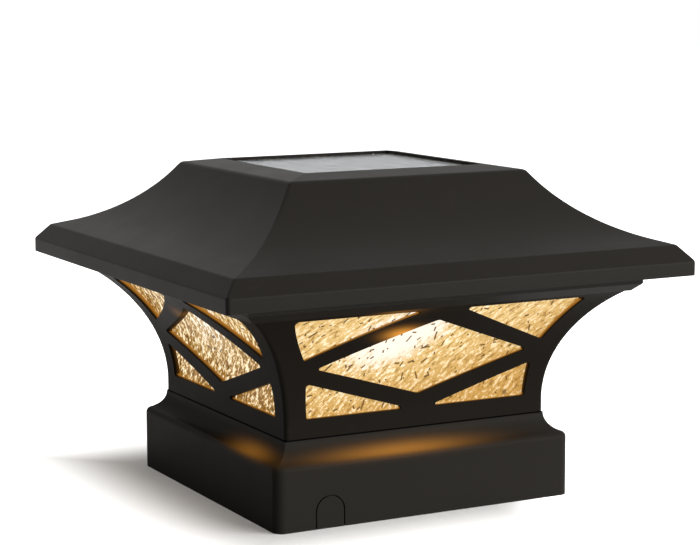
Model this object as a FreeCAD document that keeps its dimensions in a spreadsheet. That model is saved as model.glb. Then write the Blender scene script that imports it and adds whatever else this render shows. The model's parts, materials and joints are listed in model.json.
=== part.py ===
"""Solar light that caps a deck post.

A square base skirt sits over the post. A flared lattice lantern with four bent amber panes is screwed on top of it,
and a pagoda roof unit with the solar panel, battery, board and LEDs plugs into the lantern's four corners.

Millimetres, +Z up, z = 0 at the skirt's lower edge, origin at the centre of the base. -Y is the front.
"""

import FreeCAD
import Part

import math
import os
import re

import Sketcher

X_AXIS = FreeCAD.Vector(1, 0, 0)
Y_AXIS = FreeCAD.Vector(0, 1, 0)
Z_AXIS = FreeCAD.Vector(0, 0, 1)

# ---------------------------------------------------------------------------------------------------------------
# Driving dimensions
# ---------------------------------------------------------------------------------------------------------------

SIZES = {
    # base skirt
    "skirt_width": 116.0,
    "skirt_wall": 2.4,
    "skirt_corner": 3.5,
    "skirt_round": 2.0,
    "base_height": 29.6,
    "cove_radius": 7.0,
    "neck_inset": 6.9,
    "neck_wall": 2.7,
    "socket_inset": 6.7,
    "socket_depth": 23.0,
    "deck_thickness": 2.6,
    "rib_thickness": 2.0,
    "rib_spacing": 44.0,
    "rib_start": 3.0,
    "post_screw_inset": 9.5,
    "post_screw_hole": 4.5,
    "knockout_place": -37.85,
    "knockout_width": 11.1,
    "knockout_height": 11.4,
    "knockout_score": 0.45,
    "knockout_depth": 0.8,
    # lantern frame
    "flare_start": 34.0,
    "flare_radius": 49.6,
    "frame_top": 74.5,
    "frame_wall": 2.2,
    "frame_corner": 1.5,
    "ledge_height": 3.0,
    "ledge_width": 6.0,
    "lug_radius": 4.2,
    "window_corner": 1.0,
    "window_tip": 0.6,
    "window_crown": 3.0,
    "window_top": 73.2,
    "window_foot": 36.2,
    "upper_window_low": 57.2,
    "lower_window_high": 48.9,
    "upper_tip_gap": 13.8,
    "lower_tip_gap": 6.8,
    "column_top": 13.6,
    "column_middle": 10.2,
    "column_low": 9.0,
    "column_foot": 7.9,
    "column_diamond": 13.55,
    "diamond_middle": 53.9,
    "diamond_top": 69.0,
    "diamond_foot": 41.2,
    # panes and the corner channels that hold them
    "pane_thickness": 1.4,
    "pane_gap": 0.1,
    "pane_top": 73.7,
    "pane_side_gap": 0.35,
    "channel_web": 1.3,
    "channel_lip": 1.2,
    "channel_reach": 5.5,
    # frame screws
    "frame_screw_inset": 9.6,
    "boss_radius": 3.6,
    "screw_shank": 2.8,
    "screw_head": 5.4,
    "screw_head_height": 1.9,
    "screw_length": 8.0,
    "screw_gap": 0.05,
    "screw_hole_gap": 0.3,
    # reflector plate
    "reflector_thickness": 0.8,
    "reflector_gap": 0.4,
    # roof shell
    "eave_width": 178.0,
    "eave_bottom": 80.7,
    "ridge_height": 85.7,
    "ridge_round": 1.4,
    "bevel_inset": 4.7,
    "bevel_top": 91.1,
    "bevel_round": 1.6,
    "slope_run": 5.8,
    "slope_pitch": 16.5,
    "roof_radius": 59.5,
    "slope_top_drop": 3.64,
    "roof_height": 117.7,
    "platform_drop": 1.59,
    "platform_round": 2.5,
    "hip_round": 1.2,
    "roof_wall": 2.2,
    "recess_width": 70.0,
    "recess_depth": 1.0,
    "recess_floor": 1.5,
    "recess_corner": 1.2,
    "lead_hole": 8.0,
    "roof_boss_inset": 8.7,
    "roof_boss_radius": 2.6,
    # solar panel
    "panel_gap": 0.4,
    "sealant_thickness": 0.4,
    "sealant_width": 4.0,
    "backboard_thickness": 1.2,
    "cell_thickness": 0.3,
    "cell_margin": 3.0,
    "cell_gap": 1.2,
    "panel_cover_skin": 0.6,
    # soffit tray
    "tray_inset": 13.0,
    "tray_step": 3.0,
    "tray_bevel": 2.7,
    "tray_floor": 2.5,
    "tray_wall": 2.2,
    "tray_gap": 0.3,
    "soffit_recess": 2.4,
    "soffit_thickness": 2.0,
    "gasket_thickness": 1.0,
    "gasket_width": 2.2,
    "tray_screw_length": 6.5,
    "peg_reach": 4.4,
    "peg_radius": 2.0,
    "peg_length": 6.5,
    "peg_tip": 0.6,
    "peg_gap": 0.25,
    "peg_socket_wall": 0.95,
    "peg_gusset": 1.6,
    # LED unit
    "led_hole_radius": 10.0,
    "diffuser_radius": 12.5,
    "diffuser_flange": 1.0,
    "diffuser_drop": 7.0,
    "diffuser_wall": 1.0,
    "diffuser_neck": 2.3,
    "led_board_radius": 15.0,
    "led_board_thickness": 1.2,
    "led_count": 4,
    "led_ring_radius": 5.0,
    "led_radius": 1.5,
    "led_height": 1.9,
    "small_screw_shank": 1.8,
    "small_screw_head": 3.4,
    "small_screw_head_height": 1.2,
    "small_screw_length": 3.4,
    "small_boss_radius": 1.9,
    # battery
    "cell_diameter": 14.5,
    "cell_length": 50.0,
    "cell_button": 5.5,
    "cell_button_height": 1.2,
    "battery_place": 36.0,
    "battery_gap": 0.4,
    "battery_box_wall": 1.6,
    "spring_length": 4.6,
    "battery_cover_thickness": 1.6,
    "battery_cover_lip": 2.6,
    "battery_cover_gap": 0.3,
    "battery_cover_rib": 1.2,
    "battery_cover_corner": 2.0,
    "cover_tab_width": 9.0,
    "contact_thickness": 0.5,
    "contact_width": 9.0,
    "spring_wire": 0.7,
    "spring_radius": 3.4,
    "spring_turns": 3.5,
    # switch
    "switch_place": -30.0,
    "switch_length": 14.0,
    "switch_width": 7.0,
    "switch_height": 6.0,
    "switch_slot_length": 8.6,
    "switch_slot_width": 3.8,
    "knob_length": 5.0,
    "knob_width": 3.2,
    "knob_drop": 2.4,
    "knob_travel": 3.0,
    "knob_gap": 0.3,
    "knob_flange": 0.8,
    "knob_flange_thickness": 1.2,
    # circuit board
    "board_length": 34.0,
    "board_width": 24.0,
    "board_thickness": 1.6,
    "board_stand": 4.0,
    "board_inset": 32.0,
    "board_place_y": -28.0,
    "board_hole_inset": 3.2,
    "chip_length": 8.0,
    "chip_width": 6.0,
    "chip_height": 1.6,
    "inductor_radius": 2.6,
    "inductor_height": 4.0,
    "capacitor_radius": 2.5,
    "capacitor_height": 6.5,
    "lead_socket_length": 7.0,
    "lead_socket_width": 14.0,
    "lead_socket_height": 4.0,
    # leads
    "lead_diameter": 1.4,
    "lead_pitch": 2.1,
}

# Places and widths that follow another size, written in its name.
FOLLOWING = {
    "neck_width": "skirt_width - 2 * neck_inset",
    "socket_width": "skirt_width - 2 * socket_inset",
    "frame_screw_place": "neck_width - 2 * frame_screw_inset",
    "post_screw_spacing": "frame_screw_place - 2 * post_screw_inset",
    "peg_place": "neck_width + 2 * peg_reach",
    "tray_width": "eave_width - 2 * tray_inset",
    "roof_boss_place": "eave_width - 2 * roof_boss_inset",
    "board_place_x": "tray_width / 2 - board_inset",
}

DOC = FreeCAD.newDocument("PostCapLight")
SHEET = DOC.addObject("Spreadsheet::Sheet", "Sizes")
CELLS = {**{alias: str(size) for alias, size in SIZES.items()},
         **{alias: f"={formula}" for alias, formula in FOLLOWING.items()}}
for row, (alias, entry) in enumerate(CELLS.items(), start=1):
    SHEET.set(f"A{row}", alias.replace("_", " "))
    SHEET.set(f"B{row}", entry)
    SHEET.setAlias(f"B{row}", alias)
DOC.recompute()


def cells(text):
    """Write an expression in aliases as one that reads the sheet."""
    return re.sub(r"[a-z]\w*", lambda word: f"Sizes.{word[0]}" if word[0] in CELLS else word[0], text)


def number(text):
    """Work out an expression in aliases as it stands now."""
    answer = SHEET.evalExpression(cells(text))
    return float(getattr(answer, "Value", answer))


def bind(thing, **expressions):
    """Tie properties of an object to expressions in aliases; x, y and z are its place."""
    for name, text in expressions.items():
        path = f".Placement.Base.{name}" if name in ("x", "y", "z") else name
        thing.setExpression(path, cells(text))
    return thing


def add(kind, name, **properties):
    """Add an object of the document and set its plain properties."""
    thing = DOC.addObject(kind, name)
    for key, value in properties.items():
        setattr(thing, key, value)
    return thing


# ---------------------------------------------------------------------------------------------------------------
# Sketches
# ---------------------------------------------------------------------------------------------------------------

LEFT, RIGHT = 1, -1


class Corner:
    """One corner of an outline.

    x and y are expressions. round_by rounds the corner. bow makes the edge that leaves it an arc of that radius,
    with its centre to the left or right of the way along the edge.
    """

    def __init__(self, x, y, round_by=None, bow=None, side=LEFT):
        self.x, self.y, self.round_by, self.bow, self.side = x, y, round_by, bow, side
        self.point = FreeCAD.Vector(number(x), number(y), 0)


def mirrored(corners):
    """Close a right-hand outline, listed from its foot to its top, with its mirror image about x = 0."""
    other = []
    for index in reversed(range(len(corners))):
        corner = corners[index]
        arc = corners[index - 1] if index else None
        bow, side = (arc.bow, arc.side) if arc else (None, LEFT)
        other.append(Corner(f"-({corner.x})", corner.y, corner.round_by, bow, side))
    return corners + other


def rectangle(length, width, x="0", y="0", round_by=None):
    """The four corners of a rectangle about a centre."""
    return [
        Corner(f"{x} + {way_x} * ({length}) / 2", f"{y} + {way_y} * ({width}) / 2", round_by)
        for way_x, way_y in ((1, -1), (1, 1), (-1, 1), (-1, -1))
    ]


def arc_between(start, end, radius, side):
    """The short arc between two points, with its centre on the given side."""
    chord = end - start
    across = FreeCAD.Vector(-chord.y, chord.x, 0).normalize()
    rise = math.sqrt(max(radius ** 2 - (chord.Length / 2) ** 2, 0))
    centre = (start + end) / 2 + across * (side * rise)
    return Part.Arc(start, centre - across * (side * radius), end)


def arc_at_corner(before, corner, after, radius):
    """The arc that rounds a corner between two straight edges."""
    towards = (before - corner).normalize()
    onward = (after - corner).normalize()
    half_angle = towards.getAngle(onward) / 2
    cut = radius / math.tan(half_angle)
    middle = (towards + onward).normalize()
    crown = corner + middle * (radius / math.sin(half_angle) - radius)
    return corner + towards * cut, crown, corner + onward * cut


def fix(sketch, geometry, end, corner):
    """Tie one sketch point to the two expressions of a corner."""
    coordinates = (("DistanceX", -2, corner.x, corner.point.x), ("DistanceY", -1, corner.y, corner.point.y))
    for kind, axis, text, value in coordinates:
        if abs(value) < 1e-9:
            sketch.addConstraint(Sketcher.Constraint("PointOnObject", geometry, end, axis))
        else:
            index = sketch.addConstraint(Sketcher.Constraint(kind, -1, 1, geometry, end, value))
            sketch.setExpression(f"Constraints[{index}]", cells(text))


def fix_radius(sketch, geometry, text):
    """Tie the radius of an arc or circle to an expression."""
    index = sketch.addConstraint(Sketcher.Constraint("Radius", geometry, number(text)))
    sketch.setExpression(f"Constraints[{index}]", cells(text))


def add_arc(sketch, start, crown, end):
    """Add an arc; returns it with its first and last point numbers in the order of travel."""
    edge = sketch.addGeometry(Part.Arc(start, crown, end), False)
    turns_left = (crown - start).cross(end - crown).z > 0
    return (edge, 1, 2) if turns_left else (edge, 2, 1)


def draw_loop(sketch, corners):
    """Draw one closed outline with every corner and radius tied to the sheet."""
    count = len(corners)
    bends = []
    for index, corner in enumerate(corners):
        if corner.round_by:
            before, after = corners[index - 1].point, corners[(index + 1) % count].point
            bends.append(arc_at_corner(before, corner.point, after, number(corner.round_by)))
        else:
            bends.append((corner.point, corner.point, corner.point))
    edges = []
    for index, corner in enumerate(corners):
        start, end = bends[index][2], bends[(index + 1) % count][0]
        if corner.bow:
            curve = arc_between(start, end, number(corner.bow), corner.side)
            crown = curve.value((curve.FirstParameter + curve.LastParameter) / 2)
            edges.append(add_arc(sketch, start, crown, end))
            fix_radius(sketch, edges[-1][0], corner.bow)
        else:
            edges.append((sketch.addGeometry(Part.LineSegment(start, end), False), 1, 2))
    for index, corner in enumerate(corners):
        edge_in, _, in_end = edges[index - 1]
        edge_out, out_start, _ = edges[index]
        if corner.round_by:
            bend, first, last = add_arc(sketch, *bends[index])
            mark = sketch.addGeometry(Part.Point(corner.point), True)
            sketch.addConstraint(Sketcher.Constraint("Tangent", edge_in, in_end, bend, first))
            sketch.addConstraint(Sketcher.Constraint("Tangent", bend, last, edge_out, out_start))
            sketch.addConstraint(Sketcher.Constraint("PointOnObject", mark, 1, edge_in))
            sketch.addConstraint(Sketcher.Constraint("PointOnObject", mark, 1, edge_out))
            fix(sketch, mark, 1, corner)
            fix_radius(sketch, bend, corner.round_by)
        else:
            sketch.addConstraint(Sketcher.Constraint("Coincident", edge_in, in_end, edge_out, out_start))
            fix(sketch, edge_out, out_start, corner)


def draw_circle(sketch, radius, x="0", y="0"):
    """Draw a circle tied to the sheet."""
    centre = Corner(x, y)
    circle = sketch.addGeometry(Part.Circle(centre.point, Z_AXIS, number(radius)), False)
    fix(sketch, circle, 3, centre)
    fix_radius(sketch, circle, radius)


# ---------------------------------------------------------------------------------------------------------------
# Solids
# ---------------------------------------------------------------------------------------------------------------

def upright(turn):
    """Placement of an upright sketch whose x runs along +X turned about +Z, and whose y runs up."""
    return FreeCAD.Placement(
        FreeCAD.Vector(), FreeCAD.Rotation(Z_AXIS, turn).multiply(FreeCAD.Rotation(X_AXIS, 90)))


def extrusion(name, sketch, length, symmetric):
    """Extrude a sketch along its normal."""
    solid = add("Part::Extrusion", name, Base=sketch, DirMode="Normal", Solid=True, Symmetric=symmetric,
                FaceMakerClass="Part::FaceMakerBullseye")
    return bind(solid, LengthFwd=length)


def prism(name, loops, length, turn=0, y="0"):
    """A solid with an upright outline, as long to each side of its sketch; y sets the sketch back."""
    sketch = add("Sketcher::SketchObject", f"{name}_outline", Placement=upright(turn))
    for loop in loops:
        draw_loop(sketch, loop)
    bind(sketch, y=y)
    return extrusion(name, sketch, length, True)


def plate(name, loops, bottom, height, turn=0):
    """A solid with a level outline."""
    sketch = add("Sketcher::SketchObject", f"{name}_outline",
                 Placement=FreeCAD.Placement(FreeCAD.Vector(), FreeCAD.Rotation(Z_AXIS, turn)))
    for loop in loops:
        draw_loop(sketch, loop)
    bind(sketch, z=bottom)
    return extrusion(name, sketch, height, False)


def block(name, length, width, height, x="0", y="0", bottom="0"):
    """A box about a vertical line through x, y."""
    return bind(add("Part::Box", name), Length=length, Width=width, Height=height,
                x=f"{x} - ({length}) / 2", y=f"{y} - ({width}) / 2", z=bottom)


def rod(name, radius, height, x="0", y="0", bottom="0"):
    """An upright cylinder."""
    return bind(add("Part::Cylinder", name), Radius=radius, Height=height, x=x, y=y, z=bottom)


def fuse(name, *shapes):
    """Join solids into one."""
    return add("Part::MultiFuse", name, Shapes=list(shapes), Refine=True)


def common(name, *shapes):
    """What several solids share."""
    return add("Part::MultiCommon", name, Shapes=list(shapes))


def cut(name, base, *tools):
    """Take tools away from a base."""
    tool = tools[0] if len(tools) == 1 else add("Part::MultiFuse", f"{name}_tools", Shapes=list(tools))
    return add("Part::Cut", name, Base=base, Tool=tool, Refine=True)


def corner_places(place, z="0"):
    """The four corner places of a square with sides of length place."""
    ways = ((1, 1), (-1, 1), (-1, -1), (1, -1))
    return [(f"{way_x} * ({place}) / 2", f"{way_y} * ({place}) / 2", z) for way_x, way_y in ways]


def corner_rods(name, place, radius, height, bottom):
    """The same rod at each of the four corners."""
    return [rod(f"{name}_{index}", radius, height, x, y, bottom)
            for index, (x, y, _) in enumerate(corner_places(place))]


def square_solid(name, side):
    """The solid with square level sections whose half width at each height is the given right-hand outline."""
    outline = mirrored(side)
    across = f"4 * ({max(side, key=lambda corner: corner.point.x).x})"
    return common(name, prism(f"{name}_x", [outline], across), prism(f"{name}_y", [outline], across, turn=90))


def round_edges(name, base, radius, chosen):
    """Round the edges whose points all satisfy a test."""
    DOC.recompute()
    edges = [(index, number(radius), number(radius))
             for index, edge in enumerate(base.Shape.Edges, start=1)
             if all(chosen(point) for point in edge.discretize(5))]
    return add("Part::Fillet", name, Base=base, Edges=edges)


def round_mitres(name, base, radius):
    """Round the edges on the diagonals of a square solid."""
    return round_edges(name, base, radius, lambda point: abs(abs(point.x) - abs(point.y)) < 1e-4)


def diagonal_strips(name, width, bottom, top):
    """Two crossed upright slabs along the diagonals."""
    slabs = []
    for turn in (45, -45):
        slab = plate(f"{name}_{len(slabs)}", [rectangle("3 * eave_width", width)], bottom,
                     f"{top} - ({bottom})", turn)
        slabs.append(slab)
    return fuse(name, *slabs)


def body_sketch(body, role, loops=(), circles=()):
    """A sketch on one of a body's own origin planes."""
    plane = [feature for feature in body.Origin.OriginFeatures if feature.Role == role][0]
    sketch = body.newObject("Sketcher::SketchObject", f"{body.Name}_sketch")
    sketch.AttachmentSupport = [(plane, "")]
    sketch.MapMode = "FlatFace"
    for loop in loops:
        draw_loop(sketch, loop)
    for circle in circles:
        draw_circle(sketch, *circle)
    return sketch


def turned(name, loop, **place):
    """A body of revolution about +Z from a half outline in x and z."""
    body = add("PartDesign::Body", name)
    sketch = body_sketch(body, "XZ_Plane", [loop])
    turn = body.newObject("PartDesign::Revolution", f"{name}_turn")
    turn.Profile = sketch
    turn.ReferenceAxis = (sketch, ["V_Axis"])
    turn.Angle = 360
    sketch.Visibility = False
    return bind(body, **place)


def padded(name, loops, circles, height, **place):
    """A body padded up from a level outline."""
    body = add("PartDesign::Body", name)
    sketch = body_sketch(body, "XY_Plane", loops, circles)
    pad = body.newObject("PartDesign::Pad", f"{name}_pad")
    pad.Profile = sketch
    bind(pad, Length=height)
    return bind(body, **place)


def group(name, piece, places, flipped=False):
    """Copies of one piece as a group of separate solids."""
    copies = []
    for x, y, z in places:
        copy = add("App::Link", f"{name}_{len(copies)}", LinkedObject=piece)
        copy.Placement = FreeCAD.Placement(FreeCAD.Vector(), FreeCAD.Rotation(X_AXIS, 180 if flipped else 0))
        copies.append(bind(copy, x=x, y=y, z=z))
    return add("Part::Compound", name, Links=copies)


NODES = {}


def node(name, piece):
    """Keep a finished piece under its own name."""
    piece.Label = name
    NODES[name] = piece


# ---------------------------------------------------------------------------------------------------------------
# Derived heights and outlines
# ---------------------------------------------------------------------------------------------------------------

DECK_TOP = "(socket_depth + deck_thickness)"
LEDGE_TOP = "(base_height + ledge_height)"
PANE_FRONT = "(frame_wall + pane_gap)"
PANE_BACK = "(frame_wall + pane_gap + pane_thickness)"
LIP_FRONT = "(frame_wall + 2 * pane_gap + pane_thickness)"
LIP_BACK = "(frame_wall + 2 * pane_gap + pane_thickness + channel_lip)"
FLOOR_TOP = "(frame_top + tray_floor)"
SOFFIT = "(eave_bottom + soffit_recess)"
SOFFIT_TOP = "(eave_bottom + soffit_recess + soffit_thickness)"
GASKET_TOP = "(eave_bottom + soffit_recess + soffit_thickness + gasket_thickness)"
PANEL_STACK = "(sealant_thickness + backboard_thickness + cell_thickness + panel_cover_skin)"
RECESS_FLOOR = f"(roof_height - recess_depth - {PANEL_STACK})"
CEILING = f"({RECESS_FLOOR} - recess_floor)"
EAVE_INSIDE = "(eave_width / 2 - roof_wall)"


def wall_x(height, inset="0"):
    """Half width of the flared wall at a height, moved inward by inset."""
    return f"(neck_width / 2 + flare_radius - sqrt((flare_radius + {inset}) ^ 2 - ({height} - flare_start) ^ 2))"


def flared_side(inset, low, high):
    """Right-hand outline of the flared wall, moved inward by inset."""
    return [
        Corner(f"neck_width / 2 - {inset}", low),
        Corner(f"neck_width / 2 - {inset}", "flare_start", bow=f"flare_radius + {inset}", side=RIGHT),
        Corner(wall_x(high, inset), high),
    ]


# ---------------------------------------------------------------------------------------------------------------
# Base
# ---------------------------------------------------------------------------------------------------------------

SHOULDER_REACH = "(neck_width / 2 + cove_radius - skirt_width / 2 + skirt_round)"
SHOULDER_DROP = f"sqrt((cove_radius + skirt_round) ^ 2 - {SHOULDER_REACH} ^ 2)"
SHOULDER_SHARE = "cove_radius / (cove_radius + skirt_round)"
SHOULDER_X = f"(neck_width / 2 + cove_radius - {SHOULDER_SHARE} * {SHOULDER_REACH})"
SHOULDER_Z = f"(base_height - {SHOULDER_SHARE} * {SHOULDER_DROP})"
STRAIGHT_TOP = f"(base_height - {SHOULDER_DROP})"


def skirt_side(x="0"):
    """Outline of the skirt right of x: a straight side, rounded over into the cove below the neck."""
    return [
        Corner(f"skirt_width / 2 - {x}", "0"),
        Corner(f"skirt_width / 2 - {x}", STRAIGHT_TOP, bow="skirt_round", side=LEFT),
        Corner(f"{SHOULDER_X} - {x}", SHOULDER_Z, bow="cove_radius", side=RIGHT),
    ]


def skirt_outside():
    """Outside of the skirt, its corners turned about four upright axes and dying out in the cove."""
    axis_place = "(skirt_width / 2 - skirt_corner)"
    axis_top = f"(base_height - sqrt(cove_radius ^ 2 - (neck_width / 2 + cove_radius - {axis_place}) ^ 2))"
    square = square_solid("skirt_solid", skirt_side() + [Corner("neck_width / 2", "base_height")])
    post = turned("skirt_corner_post", [Corner("0", "0")] + skirt_side(axis_place) + [Corner("0", axis_top)])
    posts = group("skirt_corner_posts", post, corner_places(f"2 * {axis_place}"))
    boxes = [block(f"skirt_corner_box_{index}", "2 * skirt_corner", "2 * skirt_corner", axis_top, x, y)
             for index, (x, y, _) in enumerate(corner_places("skirt_width"))]
    return fuse("skirt_outside", cut("skirt_cross", square, *boxes), posts)


def knockout_score():
    """The scored line of the wire knock-out in the front of the skirt."""
    spring = "(knockout_height - knockout_width / 2)"
    outside, inside = "(knockout_width / 2)", "(knockout_width / 2 - knockout_score)"
    line = [
        Corner(f"knockout_place + {outside}", "-knockout_depth"),
        Corner(f"knockout_place + {outside}", spring, bow=outside, side=LEFT),
        Corner("knockout_place", "knockout_height", bow=outside, side=LEFT),
        Corner(f"knockout_place - {outside}", spring),
        Corner(f"knockout_place - {outside}", "-knockout_depth"),
        Corner(f"knockout_place - {inside}", "-knockout_depth"),
        Corner(f"knockout_place - {inside}", spring, bow=inside, side=RIGHT),
        Corner("knockout_place", "knockout_height - knockout_score", bow=inside, side=RIGHT),
        Corner(f"knockout_place + {inside}", spring),
        Corner(f"knockout_place + {inside}", "-knockout_depth"),
    ]
    return prism("knockout_score_line", [line], "2 * knockout_depth", y="-skirt_width / 2")


def base_skirt():
    """Skirt with post socket, centring ribs, deck and screw bosses."""
    shell = skirt_outside()
    inner = "(skirt_width - 2 * skirt_wall)"
    inner_top = f"({STRAIGHT_TOP} - skirt_round)"
    hollow = block("skirt_hollow", inner, inner, f"{inner_top} + skirt_wall", bottom="-skirt_wall")
    ribs = []
    for way in (1, -1):
        for length, width, x, y in (
            (inner, "rib_thickness", "0", f"{way} * rib_spacing / 2"),
            ("rib_thickness", inner, f"{way} * rib_spacing / 2", "0"),
        ):
            ribs.append(block(f"centring_rib_{len(ribs)}", length, width, f"{inner_top} - rib_start",
                              x, y, "rib_start"))
    walls = fuse("skirt_walls", cut("skirt_shell", shell, hollow), *ribs)
    socket = block("post_socket", "socket_width", "socket_width", "2 * socket_depth", bottom="-socket_depth")
    neck = "(neck_width - 2 * neck_wall)"
    well = block("neck_well", neck, neck, f"2 * (base_height - {DECK_TOP})", bottom=DECK_TOP)
    bosses = corner_rods("frame_boss", "frame_screw_place", "boss_radius",
                         f"base_height - {DECK_TOP} + deck_thickness / 2", f"{DECK_TOP} - deck_thickness / 2")
    deck = fuse("skirt_with_bosses", cut("skirt_deck", walls, socket, well), *bosses)
    screw_foot = f"({LEDGE_TOP} - screw_length - screw_hole_gap)"
    holes = corner_rods("frame_screw_hole", "frame_screw_place", "screw_shank / 2 + screw_gap",
                        "screw_length + screw_hole_gap", screw_foot)
    holes += corner_rods("post_hole", "post_screw_spacing", "post_screw_hole / 2", "base_height", "0")
    node("base_skirt", cut("base_skirt_body", deck, knockout_score(), *holes))


def reflector_plate():
    """White plate on the deck, with holes for the bosses and for a driver to the post screws."""
    width = "(neck_width - 2 * neck_wall - 2 * reflector_gap)"
    circles = [("boss_radius + reflector_gap", x, y) for x, y, _ in corner_places("frame_screw_place")]
    circles += [("post_screw_hole", x, y) for x, y, _ in corner_places("post_screw_spacing")]
    node("reflector_plate", padded("reflector_plate", [rectangle(width, width)], circles,
                                   "reflector_thickness", z=DECK_TOP))


# ---------------------------------------------------------------------------------------------------------------
# Lantern frame and panes
# ---------------------------------------------------------------------------------------------------------------

def window_loops():
    """The five windows of one side: a lozenge and four corner triangles."""
    rounding = "window_corner"
    diamond_reach = f"({wall_x('diamond_middle')} - column_diamond)"
    loops = [[
        Corner(diamond_reach, "diamond_middle", "window_tip"),
        Corner("0", "diamond_top", "window_crown"),
        Corner(f"-{diamond_reach}", "diamond_middle", "window_tip"),
        Corner("0", "diamond_foot", "window_crown"),
    ]]
    for way in (1, -1):
        upper = [
            Corner(f"{way} * upper_tip_gap / 2", "window_top", "window_tip"),
            Corner(f"{way} * ({wall_x('window_top')} - column_top)", "window_top", rounding),
            Corner(f"{way} * ({wall_x('upper_window_low')} - column_middle)", "upper_window_low", rounding),
        ]
        lower = [
            Corner(f"{way} * ({wall_x('lower_window_high')} - column_low)", "lower_window_high", rounding),
            Corner(f"{way} * (neck_width / 2 - column_foot)", "window_foot", rounding),
            Corner(f"{way} * lower_tip_gap / 2", "window_foot", "window_tip"),
        ]
        loops += [upper, lower]
    return loops


def channel(name, front, back, width, top):
    """The part of a wall between two insets that lies along the diagonals."""
    low, high = "base_height + ledge_height / 2", top
    ring = cut(f"{name}_ring", square_solid(f"{name}_outer", flared_side(front, low, high)),
               square_solid(f"{name}_inner", flared_side(back, "base_height", f"{high} + ledge_height")))
    return common(name, ring, diagonal_strips(f"{name}_strips", width, "base_height", "frame_top"))


def lantern_frame():
    """Flared lattice with a screw ledge, corner channels for the panes and sockets for the roof's pegs."""
    outside = round_mitres(
        "frame_outside", square_solid("frame_solid", flared_side("0", "base_height", "frame_top")),
        "frame_corner")
    inside = square_solid(
        "frame_inside", flared_side("frame_wall", "base_height - ledge_height", "frame_top + ledge_height"))
    windows = [prism(f"windows_{turn}", window_loops(), "2 * eave_width", turn) for turn in (0, 90)]
    lattice = cut("lattice", outside, inside, *windows)
    ring_outside = "(neck_width - frame_wall)"
    ring_inside = "(neck_width - 2 * ledge_width)"
    ledge = plate("ledge", [rectangle(ring_outside, ring_outside), rectangle(ring_inside, ring_inside)],
                  "base_height", "ledge_height")
    lugs = corner_rods("lug", "frame_screw_place", "lug_radius", "ledge_height", "base_height")
    lips = channel("channel_lips", LIP_FRONT, LIP_BACK, "channel_reach * sqrt(2)", "pane_top")
    webs = channel("channel_webs", "(frame_wall * 0.8)", LIP_BACK, "channel_web", "pane_top")
    socket_foot = "(frame_top - peg_length - 2 * peg_tip)"
    socket_height = "(peg_length + 2 * peg_tip)"
    sockets = corner_rods("peg_socket", "peg_place", "peg_radius + peg_gap + peg_socket_wall", socket_height,
                          socket_foot)
    gussets = cut("peg_gussets", common(
        "peg_gusset_stock", diagonal_strips("peg_gusset_strips", "peg_gusset", socket_foot, "frame_top"),
        square_solid("peg_gusset_limit", flared_side("(frame_wall * 0.8)", "base_height", "frame_top"))),
        block("peg_gusset_core", "peg_place", "peg_place", "eave_width"))
    solid = fuse("frame_fused", lattice, ledge, lips, webs, gussets, *lugs, *sockets)
    holes = corner_rods("frame_clear_hole", "frame_screw_place", "screw_shank / 2 + screw_hole_gap",
                        "2 * ledge_height", "base_height - ledge_height / 2")
    holes += corner_rods("peg_hole", "peg_place", "peg_radius + peg_gap", "2 * peg_length",
                         "frame_top - peg_length - peg_gap")
    node("lantern_frame", cut("lantern_frame_body", solid, *holes))


def lens(side, turn):
    """One bent pane, held at its edges by two corner channels."""
    foot = f"({LEDGE_TOP} + pane_gap)"
    profile = [
        Corner(f"neck_width / 2 - {PANE_BACK}", foot),
        Corner(f"neck_width / 2 - {PANE_FRONT}", foot),
        Corner(f"neck_width / 2 - {PANE_FRONT}", "flare_start", bow=f"flare_radius + {PANE_FRONT}", side=RIGHT),
        Corner(wall_x("pane_top", PANE_FRONT), "pane_top"),
        Corner(wall_x("pane_top", PANE_BACK), "pane_top", bow=f"flare_radius + {PANE_BACK}", side=LEFT),
        Corner(f"neck_width / 2 - {PANE_BACK}", "flare_start"),
    ]
    sheet = prism(f"lens_{side}_sheet", [profile], "2 * eave_width", turn)
    edge = "(channel_web / sqrt(2) + pane_side_gap)"
    wedge = plate(f"lens_{side}_wedge", [[
        Corner(edge, "0"),
        Corner(f"eave_width + {edge}", "-eave_width"),
        Corner(f"eave_width + {edge}", "eave_width"),
    ]], "0", "eave_width", turn)
    node(f"lens_{side}", common(f"lens_{side}_pane", sheet, wedge))


def screw(name, shank, head, head_height, length):
    """A pan-head screw with its head's underside at z = 0 and its tip below."""
    return turned(name, [
        Corner("0", head_height),
        Corner(f"{head} / 2", head_height, f"{head_height} * 0.6"),
        Corner(f"{head} / 2", "0"),
        Corner(f"{shank} / 2", "0"),
        Corner(f"{shank} / 2", f"{shank} / 2 - {length}"),
        Corner("0", f"-({length})"),
    ])


# ---------------------------------------------------------------------------------------------------------------
# Roof shell and solar panel
# ---------------------------------------------------------------------------------------------------------------

BEVEL_X = "(eave_width / 2 - bevel_inset)"
SLOPE_X = f"({BEVEL_X} - slope_run)"
SLOPE_Z = "(bevel_top + slope_run * tan(slope_pitch))"
ARC_X = f"({SLOPE_X} + roof_radius * sin(slope_pitch))"
ARC_Z = f"({SLOPE_Z} + roof_radius * cos(slope_pitch))"


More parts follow.
